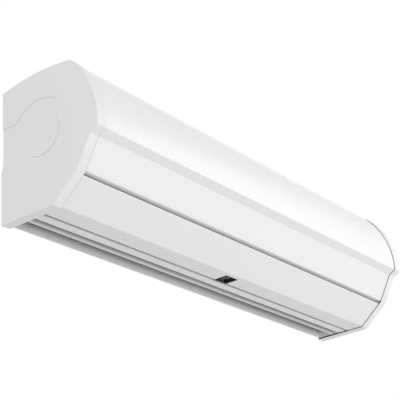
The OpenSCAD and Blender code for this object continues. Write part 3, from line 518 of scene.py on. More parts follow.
    def soften(self, width: float, angle: float = 50.0, segments: int = 2) -> "Work":
        """Rounds every edge that turns by more than an angle in degrees.

        Args:
            width: How far the rounding reaches from an edge.
            angle: Least turn in degrees of an edge that is rounded.
            segments: Segments across the rounding.

        Returns:
            This piece.
        """
        self.modify(
            "BEVEL", width=width, segments=segments, limit_method="ANGLE", angle_limit=math.radians(angle)
        )
        return self

    def modify(self, kind: str, **settings: object) -> None:
        """Adds one modifier with its settings and applies it.

        Args:
            kind: The modifier's type.
            **settings: Its settings.
        """
        self.alone()
        modifier = self.thing.modifiers.new(kind.lower(), kind)
        for key, value in settings.items():
            setattr(modifier, key, value)
        bpy.ops.object.modifier_apply(modifier=modifier.name)

    def cut(self, tool: "Work", merger: Merger = Merger.CUT) -> "Work":
        """Takes another piece away from this one, or joins it, and removes that piece.

        Args:
            tool: The piece that is taken away or joined.
            merger: Which of the two.

        Returns:
            This piece.
        """
        self.modify("BOOLEAN", object=tool.thing, operation=merger.value, solver="EXACT")
        bpy.data.objects.remove(tool.thing, do_unlink=True)
        return self

    def add(self, other: "Work") -> "Work":
        """Joins another piece to this one as one closed shell."""
        return self.cut(other, Merger.JOIN)

    def clean(self) -> "Work":
        """Merges doubles and turns every face outwards.

        Returns:
            This piece.
        """
        self.pick(Part.FACE, lambda f: True)
        bpy.ops.mesh.remove_doubles(threshold=NEAR)
        bpy.ops.mesh.normals_make_consistent(inside=False)
        bpy.ops.object.mode_set(mode="OBJECT")
        return self

    def twin(self, name: str) -> "Work":
        """A mirrored copy for the unit's other end, with its own mesh.

        Args:
            name: Name of the copy.

        Returns:
            The mirrored piece.
        """
        other = Work(name, self.section)
        other.thing = self.thing.copy()
        other.thing.data = self.thing.data.copy()
        other.thing.name = other.thing.data.name = name
        bpy.context.scene.collection.objects.link(other.thing)
        other.thing.matrix_world = Matrix.Scale(-1, 4, (1, 0, 0))
        other.alone()
        bpy.ops.object.transform_apply(location=True, rotation=True, scale=True)
        return other.clean()

    def accent(self, coat: "Finish", wanted: Callable[..., bool]) -> None:
        """Gives the faces that a test picks a second finish.

        Args:
            coat: The second finish.
            wanted: Test that says yes to the faces that get it.
        """
        self.thing.data.materials.append(coat.make())
        self.pick(Part.FACE, wanted)
        self.thing.active_material_index = len(self.thing.data.materials) - 1
        bpy.ops.object.material_slot_assign()
        bpy.ops.object.mode_set(mode="OBJECT")

    def finish(self, body: Body, slot: str, coat: "Finish", *nodes: str) -> bpy.types.Object:
        """Smooths the piece, with its flat faces left flat, dresses it and hands it to the frame.

        Args:
            body: The body that the piece rides on.
            slot: The record's material slot for it; not used.
            coat: Its finish.
            *nodes: The construction nodes that it stands for.

        Returns:
            The finished object.
        """
        self.alone()
        bpy.ops.object.shade_smooth_by_angle(angle=math.radians(SMOOTH_TURN))
        self.modify("WEIGHTED_NORMAL", weight=100, keep_sharp=True)
        self.thing.data.materials.clear()
        self.thing.data.materials.append(coat.make())
        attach(self.thing, body.value)
        if nodes:
            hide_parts(*nodes)
        log.info("%s: %d faces, stands for %s", self.name, len(self.thing.data.polygons), ", ".join(nodes))
        return self.thing


# ---------------------------------------------------------------- materials

MIX_SHARE, MIX_FIRST, MIX_SECOND = 0, 6, 7  # inputs of a Mix node that mixes colours
MIX_RESULT = 2  # its output


class Wire:
    """A socket inside a node tree that Python's operators can combine."""

    def __init__(self, recipe: "Recipe", socket: bpy.types.NodeSocket) -> None:
        """Keeps the socket and the tree that it belongs to."""
        self.recipe = recipe
        self.socket = socket

    def maths(self, operation: str, first: object, second: object) -> "Wire":
        """Adds one Math node on two values."""
        node = self.recipe.node("ShaderNodeMath", {"operation": operation}, {0: first, 1: second})
        return Wire(self.recipe, node.outputs[0])

    def __add__(self, other: object) -> "Wire":
        """Sum."""
        return self.maths("ADD", self, other)

    def __radd__(self, other: object) -> "Wire":
        """Sum, turned round."""
        return self.maths("ADD", other, self)

    def __sub__(self, other: object) -> "Wire":
        """Difference."""
        return self.maths("SUBTRACT", self, other)

    def __rsub__(self, other: object) -> "Wire":
        """Difference, turned round."""
        return self.maths("SUBTRACT", other, self)

    def __mul__(self, other: object) -> "Wire":
        """Product."""
        return self.maths("MULTIPLY", self, other)

    def __rmul__(self, other: object) -> "Wire":
        """Product, turned round."""
        return self.maths("MULTIPLY", other, self)

    def at_most(self, other: object) -> "Wire":
        """The smaller of two values."""
        return self.maths("MINIMUM", self, other)


class Recipe:
    """A node tree, with the few calls that the finishes are written in."""

    def __init__(self, tree: bpy.types.NodeTree) -> None:
        """Starts from an empty tree."""
        self.tree = tree
        tree.nodes.clear()

    def node(self, kind: str, settings: dict[str, object], values: dict[object, object]) -> bpy.types.Node:
        """Adds a node of any type.

        Args:
            kind: The node's type.
            settings: Its own settings, set first.
            values: Values or wires for its input sockets.

        Returns:
            The new node.
        """
        node = self.tree.nodes.new(kind)
        for key, value in settings.items():
            setattr(node, key, value)
        for key, value in values.items():
            if isinstance(value, Wire):
                self.tree.links.new(value.socket, node.inputs[key])
            else:
                node.inputs[key].default_value = value
        return node

    def out(self, node: bpy.types.Node, name: object) -> Wire:
        """One output of a node as a wire."""
        return Wire(self, node.outputs[name])

    def place(self, stretch: Place = (1, 1, 1)) -> Wire:
        """The point on the piece, stretched along its axes."""
        coords = self.out(self.node("ShaderNodeTexCoord", {}, {}), "Object")
        return self.out(self.node("ShaderNodeMapping", {}, {"Vector": coords, "Scale": stretch}), 0)

    def noise(self, scale: float, detail: float, stretch: Place = (1, 1, 1)) -> Wire:
        """Soft noise, with its scale counted per metre."""
        values = {"Vector": self.place(stretch), "Scale": scale, "Detail": detail}
        return self.out(self.node("ShaderNodeTexNoise", {}, values), 0)

    def cells(self, scale: float, feature: str = "F1", output: str = "Distance") -> Wire:
        """Cell pattern, with its scale counted per metre."""
        values = {"Vector": self.place(), "Scale": scale}
        return self.out(self.node("ShaderNodeTexVoronoi", {"feature": feature}, values), output)

    def tone(self, share: Wire, first: Colour | Wire, second: Colour | Wire) -> Wire:
        """A colour between two colours."""
        values = {MIX_SHARE: share, MIX_FIRST: first, MIX_SECOND: second}
        return self.out(self.node("ShaderNodeMix", {"data_type": "RGBA"}, values), MIX_RESULT)

    def ramp(self, value: Wire, start: float, end: float) -> Wire:
        """Nought before the start, one after the end and even between them."""
        values = {"Value": value, "From Min": start, "From Max": end}
        return self.out(self.node("ShaderNodeMapRange", {"clamp": True}, values), 0)

    def bump(self, height: Wire, depth: float) -> Wire:
        """A normal from a height pattern whose full depth is in metres."""
        return self.out(self.node("ShaderNodeBump", {}, {"Height": height, "Distance": depth}), 0)

    def surface(self, **sockets: object) -> None:
        """Ends the tree in a Principled surface.

        Args:
            **sockets: Values or wires, with the sockets named in lower case.
        """
        values = {key.replace("_", " ").title(): value for key, value in sockets.items()}
        shader = self.node("ShaderNodeBsdfPrincipled", {}, values)
        self.node("ShaderNodeOutputMaterial", {}, {"Surface": self.out(shader, 0)})


def grey(level: float, warmth: float = 0.0) -> Colour:
    """A grey, warmer where warmth is above nought and cooler under it."""
    return (level * (1 + warmth), level, level * (1 - warmth), 1.0)


def darker(colour: Colour, share: float) -> Colour:
    """The same colour, darker by a share."""
    return (*(c * (1 - share) for c in colour[:3]), 1.0)


@dataclass(frozen=True)
class Finish:
    """One finish: its name and how its tree is written."""

    name: str

    def write(self, recipe: Recipe) -> None:
        """Writes the finish's nodes."""
        raise NotImplementedError

    def make(self) -> bpy.types.Material:
        """The finish's material, made once.

        Returns:
            The material.
        """
        known = bpy.data.materials.get(self.name)
        if known:
            return known
        material = bpy.data.materials.new(self.name)
        material.use_nodes = True
        self.write(Recipe(material.node_tree))
        return material


@dataclass(frozen=True)
class PowderCoat(Finish):
    """Satin paint baked on sheet metal, with a faint orange peel."""

    colour: Colour
    gloss: float = 0.42
    peel: float = 0.03 * MM
    peel_scale: float = 420.0
    coat: float = 0.15

    def hue(self, recipe: Recipe) -> Wire:
        """The paint's colour, faintly clouded."""
        return recipe.tone(recipe.noise(6, 3), darker(self.colour, 0.018), self.colour)

    def write(self, recipe: Recipe) -> None:
        """Writes the finish's nodes.

        Args:
            recipe: The material's node tree.
        """
        peel = recipe.noise(self.peel_scale, 2)
        recipe.surface(
            base_color=self.hue(recipe),
            roughness=self.gloss - 0.04 + 0.06 * recipe.noise(35, 2) + 0.03 * peel,
            normal=recipe.bump(peel, self.peel),
            coat_weight=self.coat,
            coat_roughness=0.3,
        )


@dataclass(frozen=True)
class ShadedOutletPaint(PowderCoat):
    """Satin paint on a sheet beside the air outlet, greyed inside it by painted shade.

    The painted shade stands in for the light dying away deep inside the outlet. It starts at shade_start_z,
    is full from full_shade_z on and ends at last_z. It fades out from inner_y to outer_y, so the outside
    of the back stays unshaded. These places are in the part's frame.
    """

    dust_and_painted_shade: Colour = grey(0.3)
    shade_start_z: float = -143 * MM
    full_shade_z: float = -131 * MM
    last_z: float = -80 * MM
    inner_y: float = -2.8 * MM
    outer_y: float = -2.3 * MM

    def hue(self, recipe: Recipe) -> Wire:
        """The paint's colour, with painted shade coming on above the outlet's edge.

        Args:
            recipe: The material's node tree.

        Returns:
            The colour's wire.
        """
        point = recipe.node("ShaderNodeSeparateXYZ", {}, {0: recipe.place()})
        height = recipe.out(point, "Z")
        # painted shade: the colour darkens with height inside the outlet, where the light falls off
        share = recipe.ramp(height, self.shade_start_z, self.full_shade_z)
        share = share * recipe.ramp(height, self.last_z + MM, self.last_z)
        share = share * recipe.ramp(recipe.out(point, "Y"), self.outer_y, self.inner_y)
        return recipe.tone(share, super().hue(recipe), self.dust_and_painted_shade)


@dataclass(frozen=True)
class Moulded(Finish):
    """Injection-moulded plastic with a fine spark-eroded grain."""

    colour: Colour
    gloss: float = 0.5
    grain: float = 0.02 * MM
    grain_scale: float = 1100.0

    def write(self, recipe: Recipe) -> None:
        """Writes the finish's nodes.

        Args:
            recipe: The material's node tree.
        """
        grain = recipe.noise(self.grain_scale, 3)
        recipe.surface(
            base_color=recipe.tone(recipe.noise(9, 3), darker(self.colour, 0.025), self.colour),
            roughness=self.gloss - 0.03 + 0.08 * grain + 0.04 * recipe.noise(60, 2),
            normal=recipe.bump(grain, self.grain),
        )


@dataclass(frozen=True)
class ZincSheet(Finish):
    """Hot-dip zinc with its spangle."""

    light: Colour = grey(0.68, -0.01)
    dark: Colour = grey(0.54, -0.015)
    spangle: float = 95.0

    def write(self, recipe: Recipe) -> None:
        """Writes the finish's nodes.

        Args:
            recipe: The material's node tree.
        """
        flake = recipe.out(
            recipe.node("ShaderNodeSeparateColor", {}, {0: recipe.cells(self.spangle, output="Color")}), 0
        )
        haze = recipe.noise(40, 4)
        recipe.surface(
            base_color=recipe.tone(flake * 0.7 + haze * 0.3, self.dark, self.light),
            metallic=1.0,
            roughness=0.34 + 0.16 * flake + 0.08 * haze,
            normal=recipe.bump(flake * 0.5 + haze, 0.02 * MM),
        )


@dataclass(frozen=True)
class TurnedMetal(Finish):
    """Metal turned on a lathe, with fine rings round the unit's length."""

    light: Colour
    dark: Colour
    rings: float = 2600.0

    def write(self, recipe: Recipe) -> None:
        """Writes the finish's nodes.

        Args:
            recipe: The material's node tree.
        """
        ring = recipe.noise(1, 2, (self.rings, 30, 30))
        stain = recipe.noise(70, 3)
        recipe.surface(
            base_color=recipe.tone(ring * 0.6 + stain * 0.4, self.dark, self.light),
            metallic=1.0,
            roughness=0.2 + 0.14 * ring + 0.1 * stain,
            normal=recipe.bump(ring, 0.01 * MM),
        )


@dataclass(frozen=True)
class MillMetal(Finish):
    """Rolled or cast light alloy, streaked along the unit or grainy."""

    light: Colour
    dark: Colour
    stretch: Place = (6, 500, 500)
    depth: float = 0.02 * MM
    rough: float = 0.36

    def write(self, recipe: Recipe) -> None:
        """Writes the finish's nodes.

        Args:
            recipe: The material's node tree.
        """
        streak = recipe.noise(1, 3, self.stretch)
        dust_and_painted_shade = recipe.noise(45, 3)
        recipe.surface(
            base_color=recipe.tone(streak * 0.5 + dust_and_painted_shade * 0.5, self.dark, self.light),
            metallic=1.0,
            roughness=self.rough + 0.12 * streak + 0.1 * dust_and_painted_shade,
            normal=recipe.bump(streak, self.depth),
        )


@dataclass(frozen=True)
class Rubber(Finish):
    """Matt black rubber with a dusty bloom."""

    colour: Colour = grey(0.028)
    bloom: Colour = grey(0.06)

    def write(self, recipe: Recipe) -> None:
        """Writes the finish's nodes.

        Args:
            recipe: The material's node tree.
        """
        dust_and_painted_shade = recipe.noise(120, 4)
        grain = recipe.noise(1800, 2)
        recipe.surface(
            base_color=recipe.tone(dust_and_painted_shade * dust_and_painted_shade, self.colour, self.bloom),
            roughness=0.72 + 0.16 * dust_and_painted_shade,
            normal=recipe.bump(grain, 0.04 * MM),
        )


@dataclass(frozen=True)
class Plated(Finish):
    """Zinc-plated fasteners with a faint passivated tint."""

    light: Colour = (0.74, 0.73, 0.68, 1.0)
    dark: Colour = (0.55, 0.57, 0.6, 1.0)

    def write(self, recipe: Recipe) -> None:
        """Writes the finish's nodes.

        Args:
            recipe: The material's node tree.
        """
        tint = recipe.noise(160, 3)
        recipe.surface(
            base_color=recipe.tone(tint, self.dark, self.light),
            metallic=1.0,
            roughness=0.24 + 0.16 * tint,
            normal=recipe.bump(recipe.noise(1500, 2), 0.01 * MM),
        )


@dataclass(frozen=True)
class HammerPaint(Finish):
    """Dark grey stove enamel of the motor's can."""

    colour: Colour = grey(0.11, -0.03)
    light: Colour = grey(0.16, -0.03)

    def write(self, recipe: Recipe) -> None:
        """Writes the finish's nodes.

        Args:
            recipe: The material's node tree.
        """
        dimple = recipe.cells(380, "SMOOTH_F1")
        recipe.surface(
            base_color=recipe.tone(dimple, self.light, self.colour),
            roughness=0.3 + 0.2 * dimple,
            normal=recipe.bump(dimple, 0.12 * MM),
            coat_weight=0.3,
            coat_roughness=0.2,
        )


# ---------------------------------------------------------------- finishes of this unit

CASING_PAINT = PowderCoat("casing_paint", grey(0.87))
# the duct and vane paints grey inside the outlet as painted shade; the duct paint is also a lighter white
# than the casing paint, as painted light on the back's lower edge
DUCT_PAINT_WITH_SHADE = ShadedOutletPaint("duct_paint_painted_shade", grey(0.9), dust_and_painted_shade=grey(0.5), shade_start_z=-137 * MM, full_shade_z=-128 * MM)
VANE_PAINT_WITH_SHADE = ShadedOutletPaint("vane_paint_painted_shade", grey(0.87), gloss=0.4)
RAIL_GLOSS = Moulded("rail_gloss", grey(0.86), gloss=0.16, grain=0.004 * MM)
# the rail behind the groove is painted near-black as the shade inside the groove
GROOVE_SHADE = Moulded("groove_painted_shade", grey(0.08), gloss=0.6)
CAP_PLASTIC = Moulded("cap_plastic", grey(0.86))
# near-black rubber-like finish on the caps' inner faces: painted shadow in the joint between cap and body
CAP_JOINT_SHADE = Rubber("cap_joint_painted_shade", grey(0.02), grey(0.035))
GRILLE_PLASTIC = Moulded("grille_plastic", grey(0.85), gloss=0.46)
LEVER_PLASTIC = Moulded("lever_plastic", grey(0.13), gloss=0.42)
POCKET_PLASTIC = Moulded("pocket_plastic", grey(0.018), gloss=0.5)
NYLON = Moulded("bush_nylon", grey(0.045), gloss=0.46)
CAPACITOR_SHELL = Moulded("capacitor_shell", grey(0.74, 0.01), gloss=0.38)
TERMINAL_RESIN = Moulded("terminal_resin", (0.72, 0.69, 0.59, 1.0), gloss=0.55)
COVER_RESIN = Moulded("terminal_cover_resin", grey(0.7, -0.02), gloss=0.3)
WIRE_SHEATH = Moulded("wire_sheath", grey(0.04, -0.05), gloss=0.35)
ZINC = ZincSheet("zinc_sheet")
STEEL = TurnedMetal("turned_steel", grey(0.66), grey(0.48))
BRASS = TurnedMetal("turned_brass", (0.8, 0.6, 0.27, 1.0), (0.6, 0.43, 0.17, 1.0))
ROTOR_ALLOY = MillMetal("rotor_alloy", grey(0.72, -0.01), grey(0.58, -0.01))
CAST_ALLOY = MillMetal(
    "cast_alloy", grey(0.64), grey(0.5), stretch=(420, 420, 420), depth=0.15 * MM, rough=0.48
)
RUBBER = Rubber("black_rubber")
PLATED = Plated("plated_screw")
MOTOR_PAINT = HammerPaint("motor_paint")

NODE_FINISHES: dict[Finish, tuple[str, ...]] = {
    DUCT_PAINT_WITH_SHADE: ("rear_casing", "left_bulkhead", "right_bulkhead"),
    GROOVE_SHADE: ("groove_rail",),
    ZINC: (
        "wall_plate", "left_motor_plate", "right_motor_plate", "left_scroll", "right_scroll",
        "left_tongue", "right_tongue", "bay_baffle", "vane_link", "motor_straps", "capacitor_clip",
    ),
    CAST_ALLOY: ("motor_cradle", "left_bearing_housing", "right_bearing_housing"),
    MOTOR_PAINT: ("motor_body",),
    STEEL: (
        "motor_shaft", "left_hub", "right_hub", "left_stub_shaft", "right_stub_shaft", "end_bearings",
        "front_vane_pins", "rear_vane_pins", "front_link_pin", "rear_link_pin",
    ),
    PLATED: (
        "hub_set_screws", "lever_screws", "cap_screws", "frame_screws", "motor_screws",
        "housing_screws", "lock_screws",
    ),
    ROTOR_ALLOY: ("left_rotor", "right_rotor"),
    RUBBER: ("motor_rubber_rings", "bearing_rubbers", "cable_grommet"),
    NYLON: ("vane_bushes",),
    CAPACITOR_SHELL: ("capacitor",),
    TERMINAL_RESIN: ("terminal_block",),
    COVER_RESIN: ("terminal_cover",),
    BRASS: ("earth_stud",),
    WIRE_SHEATH: ("motor_wires",),
}


def dress_inner_parts() -> None:
    """Gives each construction node that stays its finish."""
    for finish, nodes in NODE_FINISHES.items():
        material = finish.make()
        for name in nodes:
            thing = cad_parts[name]
            if not thing.material_slots:
                thing.data.materials.append(material)
            for place in thing.material_slots:
                place.material = material
            log.info("%s: finished as %s", name, finish.name)


# ---------------------------------------------------------------- end caps


@dataclass
class EndCaps:
    """The two moulded end caps, with the keyhole recess in their outer faces."""

    section: Section
    half_l: float
    body_half: float
    wall: float = 2.5 * MM
    face_t: float = 3.5 * MM
    flange_t: float = 2 * MM
    flange_in: float = 16 * MM
    rim_round: float = 1.3 * MM
    back_step: float = 2.8 * MM
    back_step_z: float = 79.7 * MM
    back_step_run: float = 7.1 * MM
    recess_depth: float = 2 * MM
    recess_r: float = 55 * MM
    disc_r: float = 36.5 * MM
    recess_d: float = 78 * MM
    recess_z: float = 120 * MM
    channel_h: float = 59 * MM
    channel_fillet: float = 14 * MM
    recess_round: float = 0.2 * MM
    recess_steps: int = 40
    fillet_steps: int = 8

    def outline(self) -> list[Point]:
        """Outline of a cap, with its back edge set off the wall above the step.

        Returns:
            The cap's outline, anticlockwise.
        """
        first, *rest = self.section.outline(0, 0, 0)
        rear = Vector((self.back_step, self.section.top_z(self.back_step, 0)))
        rest = [p for p in rest if p.x > self.back_step + MM]
        high = Vector((self.back_step, self.back_step_z + self.back_step_run))
        return [first, *rest, rear, high, Vector((0, self.back_step_z))]

    def keyhole(self) -> list[Point]:
        """Outline of the recess: a circle with a channel to the wall, its two corners eased.

        Returns:
            The recess's outline, anticlockwise.
        """
        centre = Vector((self.recess_d, self.recess_z))
        half = self.channel_h / 2
        meet = self.recess_d - math.sqrt(self.recess_r**2 - half**2)
        low = [Vector((-CLEAR, self.recess_z - half)), Vector((meet, self.recess_z - half))]
        high = [Vector((meet, self.recess_z + half)), Vector((-CLEAR, self.recess_z + half))]
        front = centre + Vector((self.recess_r, 0))
        round_low = arc(centre, low[1], front, self.recess_steps)
        round_high = arc(centre, front, high[0], self.recess_steps)
        skip = 5  # arc points that the easing takes the place of
        ease_low = rounded([*low, round_low[skip]], self.channel_fillet, self.fillet_steps)
        ease_high = rounded([round_high[-1 - skip], *high], self.channel_fillet, self.fillet_steps)
        return [*ease_low, *round_low[skip + 1 :], *round_high[1 : -1 - skip], *ease_high]

    def cut_recess(self, cap: Work) -> None:
        """Cuts the keyhole recess and rounds its edges.

        Args:
            cap: The cap that gets the recess.
        """
        face = self.half_l - self.recess_depth
        tool = Work("recess_cutter", self.section).bar(self.keyhole(), (face, self.half_l + CLEAR))
        centre = Vector((self.recess_d, self.recess_z))
        disc = Work("disc_cutter", self.section)
        ends = (disc.spot(face - CLEAR, centre), disc.spot(self.half_l + 2 * CLEAR, centre))
        tool.cut(disc.rod(*ends, self.disc_r, sides=96))
        cap.cut(tool)

        def on_rim(edge: bmesh.types.BMEdge) -> bool:
            """True on the recess's edge in the outer face.

            Args:
                edge: An edge of the cap.

            Returns:
                Whether the edge gets rounded.
            """
            if any(abs(v.co.x - self.half_l) > NEAR for v in edge.verts):
                return False
            sides = {round(f.normal.x) for f in edge.link_faces}
            return sides == {0, 1} and all(self.near_recess(v.co) for v in edge.verts)

        cap.round_edges(self.recess_round, on_rim, segments=2)

    def near_recess(self, spot: Vector) -> bool:
        """True if a point lies in the recess's outline or within a fillet of it, seen along the unit.

        Args:
            spot: A point in the part's frame.

        Returns:
            Whether it lies there.
        """
        d, z = -spot.y - self.recess_d, spot.z + self.section.datum - self.recess_z
        reach = self.recess_r + NEAR + self.channel_fillet
        return math.hypot(d, z) < reach or (d < 0 and abs(z) < self.channel_h / 2 + NEAR)

    def build(self) -> None:
        """Makes the right cap and its mirrored twin."""
        s = self.section
        cap = Work("right_cap_moulding", s).bar(self.outline(), (self.body_half, self.half_l))
        cap.soften(self.rim_round, angle=30, segments=4)
        inner = s.outline(self.wall, self.wall, self.wall, self.wall + self.back_step)
        cap.cut(Work("hollow", s).bar(inner, (self.body_half + self.flange_t, self.half_l - self.face_t)))
        mouth = s.outline(self.flange_in, self.flange_in, self.flange_in, self.flange_in)
        cap.cut(Work("mouth", s).bar(mouth, (self.body_half - CLEAR, self.body_half + CLEAR)))
        self.cut_recess(cap)
        cap.clean()
        left = cap.twin("left_cap_moulding")
        for piece, node in ((cap, "right_end_cap"), (left, "left_end_cap")):
            piece.finish(Body.CASING, "cap_white", CAP_PLASTIC, node)
            # the inner face gets the near-black finish as painted shadow in the joint
            piece.accent(CAP_JOINT_SHADE, self.on_inner_face)

    def on_inner_face(self, face: bmesh.types.BMFace) -> bool:
        """True on the flat face that a cap turns to the body, which is painted near-black as the shadow in
        the joint.
        """
        return all(abs(abs(v.co.x) - self.body_half) < NEAR for v in face.verts)


# ---------------------------------------------------------------- front panels


@dataclass
class FrontPanels:
    """The painted sheets of the front: upper cover, middle panel and lower panel with its lip."""

    section: Section
    outlet: Outlet
    half: float
    seam: float = 0.05 * MM
    bend: float = 2.2 * MM
    crisp_bend: float = 1.55 * MM
    edge: float = 0.35 * MM
    seam_edge: float = 0.08 * MM
    groove_h: float = 3.7 * MM
    groove_deep: float = 8 * MM
    hem_h: float = 9 * MM
    cover_top: float = 190.4 * MM
    pocket_wall: float = 1.7 * MM

    def groove(self) -> tuple[float, float]:
        """Lower and upper height of the shadow groove."""
        nose = self.section.body()[1].y
        return nose - self.groove_h / 2, nose + self.groove_h / 2

    def fold(self, name: str, path: Sequence[Point], bend: float, edge: float) -> Work:
        """Folds one panel from its section path, with rounded bends and eased edges."""
        ends = (-self.half, self.half)
        return Work(name, self.section).sheet(rounded(path, bend), ends, self.outlet.skin).soften(edge)

    def upper_cover(self) -> None:
        """The curved cover and the step under it."""
        s = self.section
        _, _, step, brow = s.body()
        end = Vector((s.front_d(self.cover_top, s.rim_front), self.cover_top))
        curve = arc(s.front_arc(s.rim_front)[0], brow, end, s.arc_steps)
        cover = self.fold("upper_cover_sheet", [step, *curve], self.bend, self.seam_edge)
        cover.finish(Body.CASING, "casing_white", CASING_PAINT, "upper_front_cover")

    def middle_panel(self) -> None:
        """The panel between the step and the groove."""
        s = self.section
        low = self.groove()[1]
        top = s.body()[2].y - self.seam
        path = [
            Vector((s.face_d(low, self.groove_deep), low)),
            Vector((s.face_d(low), low)),
            Vector((s.face_d(top), top)),
        ]
        panel = self.fold("middle_panel_sheet", path, self.crisp_bend, self.seam_edge)
        panel.finish(Body.CASING, "casing_white", CASING_PAINT, "middle_front_panel")

    def lower_panel(self) -> None:
        """The panel under the groove, folded into the bottom lip and notched for the lever's pocket."""
        s, hole = self.section, self.outlet
        low = s.low_z(hole.front_d, s.rim_low)
        hem_top = s.rim_low + self.hem_h
        top = self.groove()[0]
        path = [
            Vector((hole.front_d, hem_top)),
            Vector((hole.front_d, low)),
            s.body()[0],
            Vector((s.face_d(top), top)),
            Vector((s.face_d(top, self.groove_deep), top)),
        ]
        panel = self.fold("lower_panel_sheet", path, self.bend, self.edge)
        notch = Work("notch", s).block(
            (-hole.pocket_half, hole.pocket_half),
            (hole.front_d - CLEAR, hole.front_d + hole.pocket_deep),
            (low - CLEAR, hem_top + CLEAR),
        )
        panel.cut(notch.round_edges(hole.pocket_corner, upright))
        wide = hole.pocket_half + self.pocket_wall  # the hem makes way for the pocket's side walls
        depths = (hole.front_d - CLEAR, hole.front_d + self.pocket_wall)
        heights = (s.rim_low + hole.skin, hem_top + CLEAR)
        panel.cut(Work("side_notch", s).block((-wide, wide), depths, heights))
        panel.clean().finish(Body.CASING, "casing_white", CASING_PAINT, "lower_front_panel")

    def build(self) -> None:
        """Makes the three panels."""
        self.upper_cover()
        self.middle_panel()
        self.lower_panel()


@dataclass
class TopRail:
    """The folded rail along the front top corner."""

    section: Section
    half: float
    reach: float = 16 * MM
    rear_drop: float = 12.6 * MM
    front_drop: float = 26.5 * MM
    wall: float = 1.5 * MM
    bend: float = 1.6 * MM
    edge: float = 0.35 * MM
    face_steps: int = 8
    top_steps: int = 6

    def build(self) -> None:
        """Makes the rail."""
        s = self.section
        rear_d, low_z = s.crown.x - self.reach, s.crown.y - self.front_drop
        crown = s.crown_corner(s.rim_front, s.rim_top)
        front = Vector((s.front_d(low_z, s.rim_front), low_z))
        rear = Vector((rear_d, s.top_z(rear_d, s.rim_top)))
        face = arc(s.front_arc(s.rim_front)[0], front, crown, self.face_steps)
        top = arc(s.crown_arc(s.rim_top)[0], crown, rear, self.top_steps)
        path = rounded([*face, *top[1:], Vector((rear_d, s.crown.y - self.rear_drop))], self.bend)
        rail = Work("top_rail_sheet", s).sheet(path, (-self.half, self.half), self.wall)
        rail.soften(self.edge)
        rail.finish(Body.CASING, "rail_white", RAIL_GLOSS, "top_front_rail")


@dataclass
class IntakeGrille:
    """The lattice in the top: bars along the unit, crossed by ribs."""

    section: Section
    half: float
    start_d: float = 68.4 * MM
    end_d: float = 122.5 * MM
    bars: int = 8
    ribs: int = 11
    bar_w: float = 2 * MM
    deep: float = 6 * MM
    edge: float = 0.4 * MM

    def bands(self, start: float, end: float, count: int) -> list[tuple[float, float]]:
        """Evenly spaced strips of one bar's width, with the first and last at the ends."""
        pitch = (end - start - self.bar_w) / (count - 1)
        return [(start + i * pitch, start + i * pitch + self.bar_w) for i in range(count)]

    def build(self) -> None:
        """Draws the top's surface, opens its windows and thickens what is left."""
        s = self.section
        bars = self.bands(self.start_d, self.end_d, self.bars)
        ribs = self.bands(-self.half, self.half, self.ribs)
        cuts = [d for band in reversed(bars) for d in reversed(band)]
        lattice = Work("intake_lattice", s)
        lattice.draw([Vector((d, s.top_z(d, s.rim_top))) for d in cuts], (-self.half, self.half))
        for edge in [x for band in ribs for x in band][1:-1]:
            lattice.pick(Part.FACE, lambda f: True)
            bpy.ops.mesh.bisect(plane_co=(edge, 0, 0), plane_no=(1, 0, 0))
            bpy.ops.object.mode_set(mode="OBJECT")

        def window(face: bmesh.types.BMFace) -> bool:
            """True on a face that lies on no bar and on no rib.

            Args:
                face: A face of the lattice.

            Returns:
                Whether the face is cut out.
            """
            spot = face.calc_center_median()
            on_bar = any(a <= -spot.y <= b for a, b in bars)
            return not (on_bar or any(a <= spot.x <= b for a, b in ribs))

        lattice.pick(Part.FACE, window)
        bpy.ops.mesh.delete(type="FACE")
        bpy.ops.object.mode_set(mode="OBJECT")
        lattice.modify("SOLIDIFY", thickness=self.deep, offset=-1)
        lattice.clean().soften(self.edge)
        lattice.finish(Body.CASING, "grille_white", GRILLE_PLASTIC, "top_intake_grille")


# ---------------------------------------------------------------- outlet


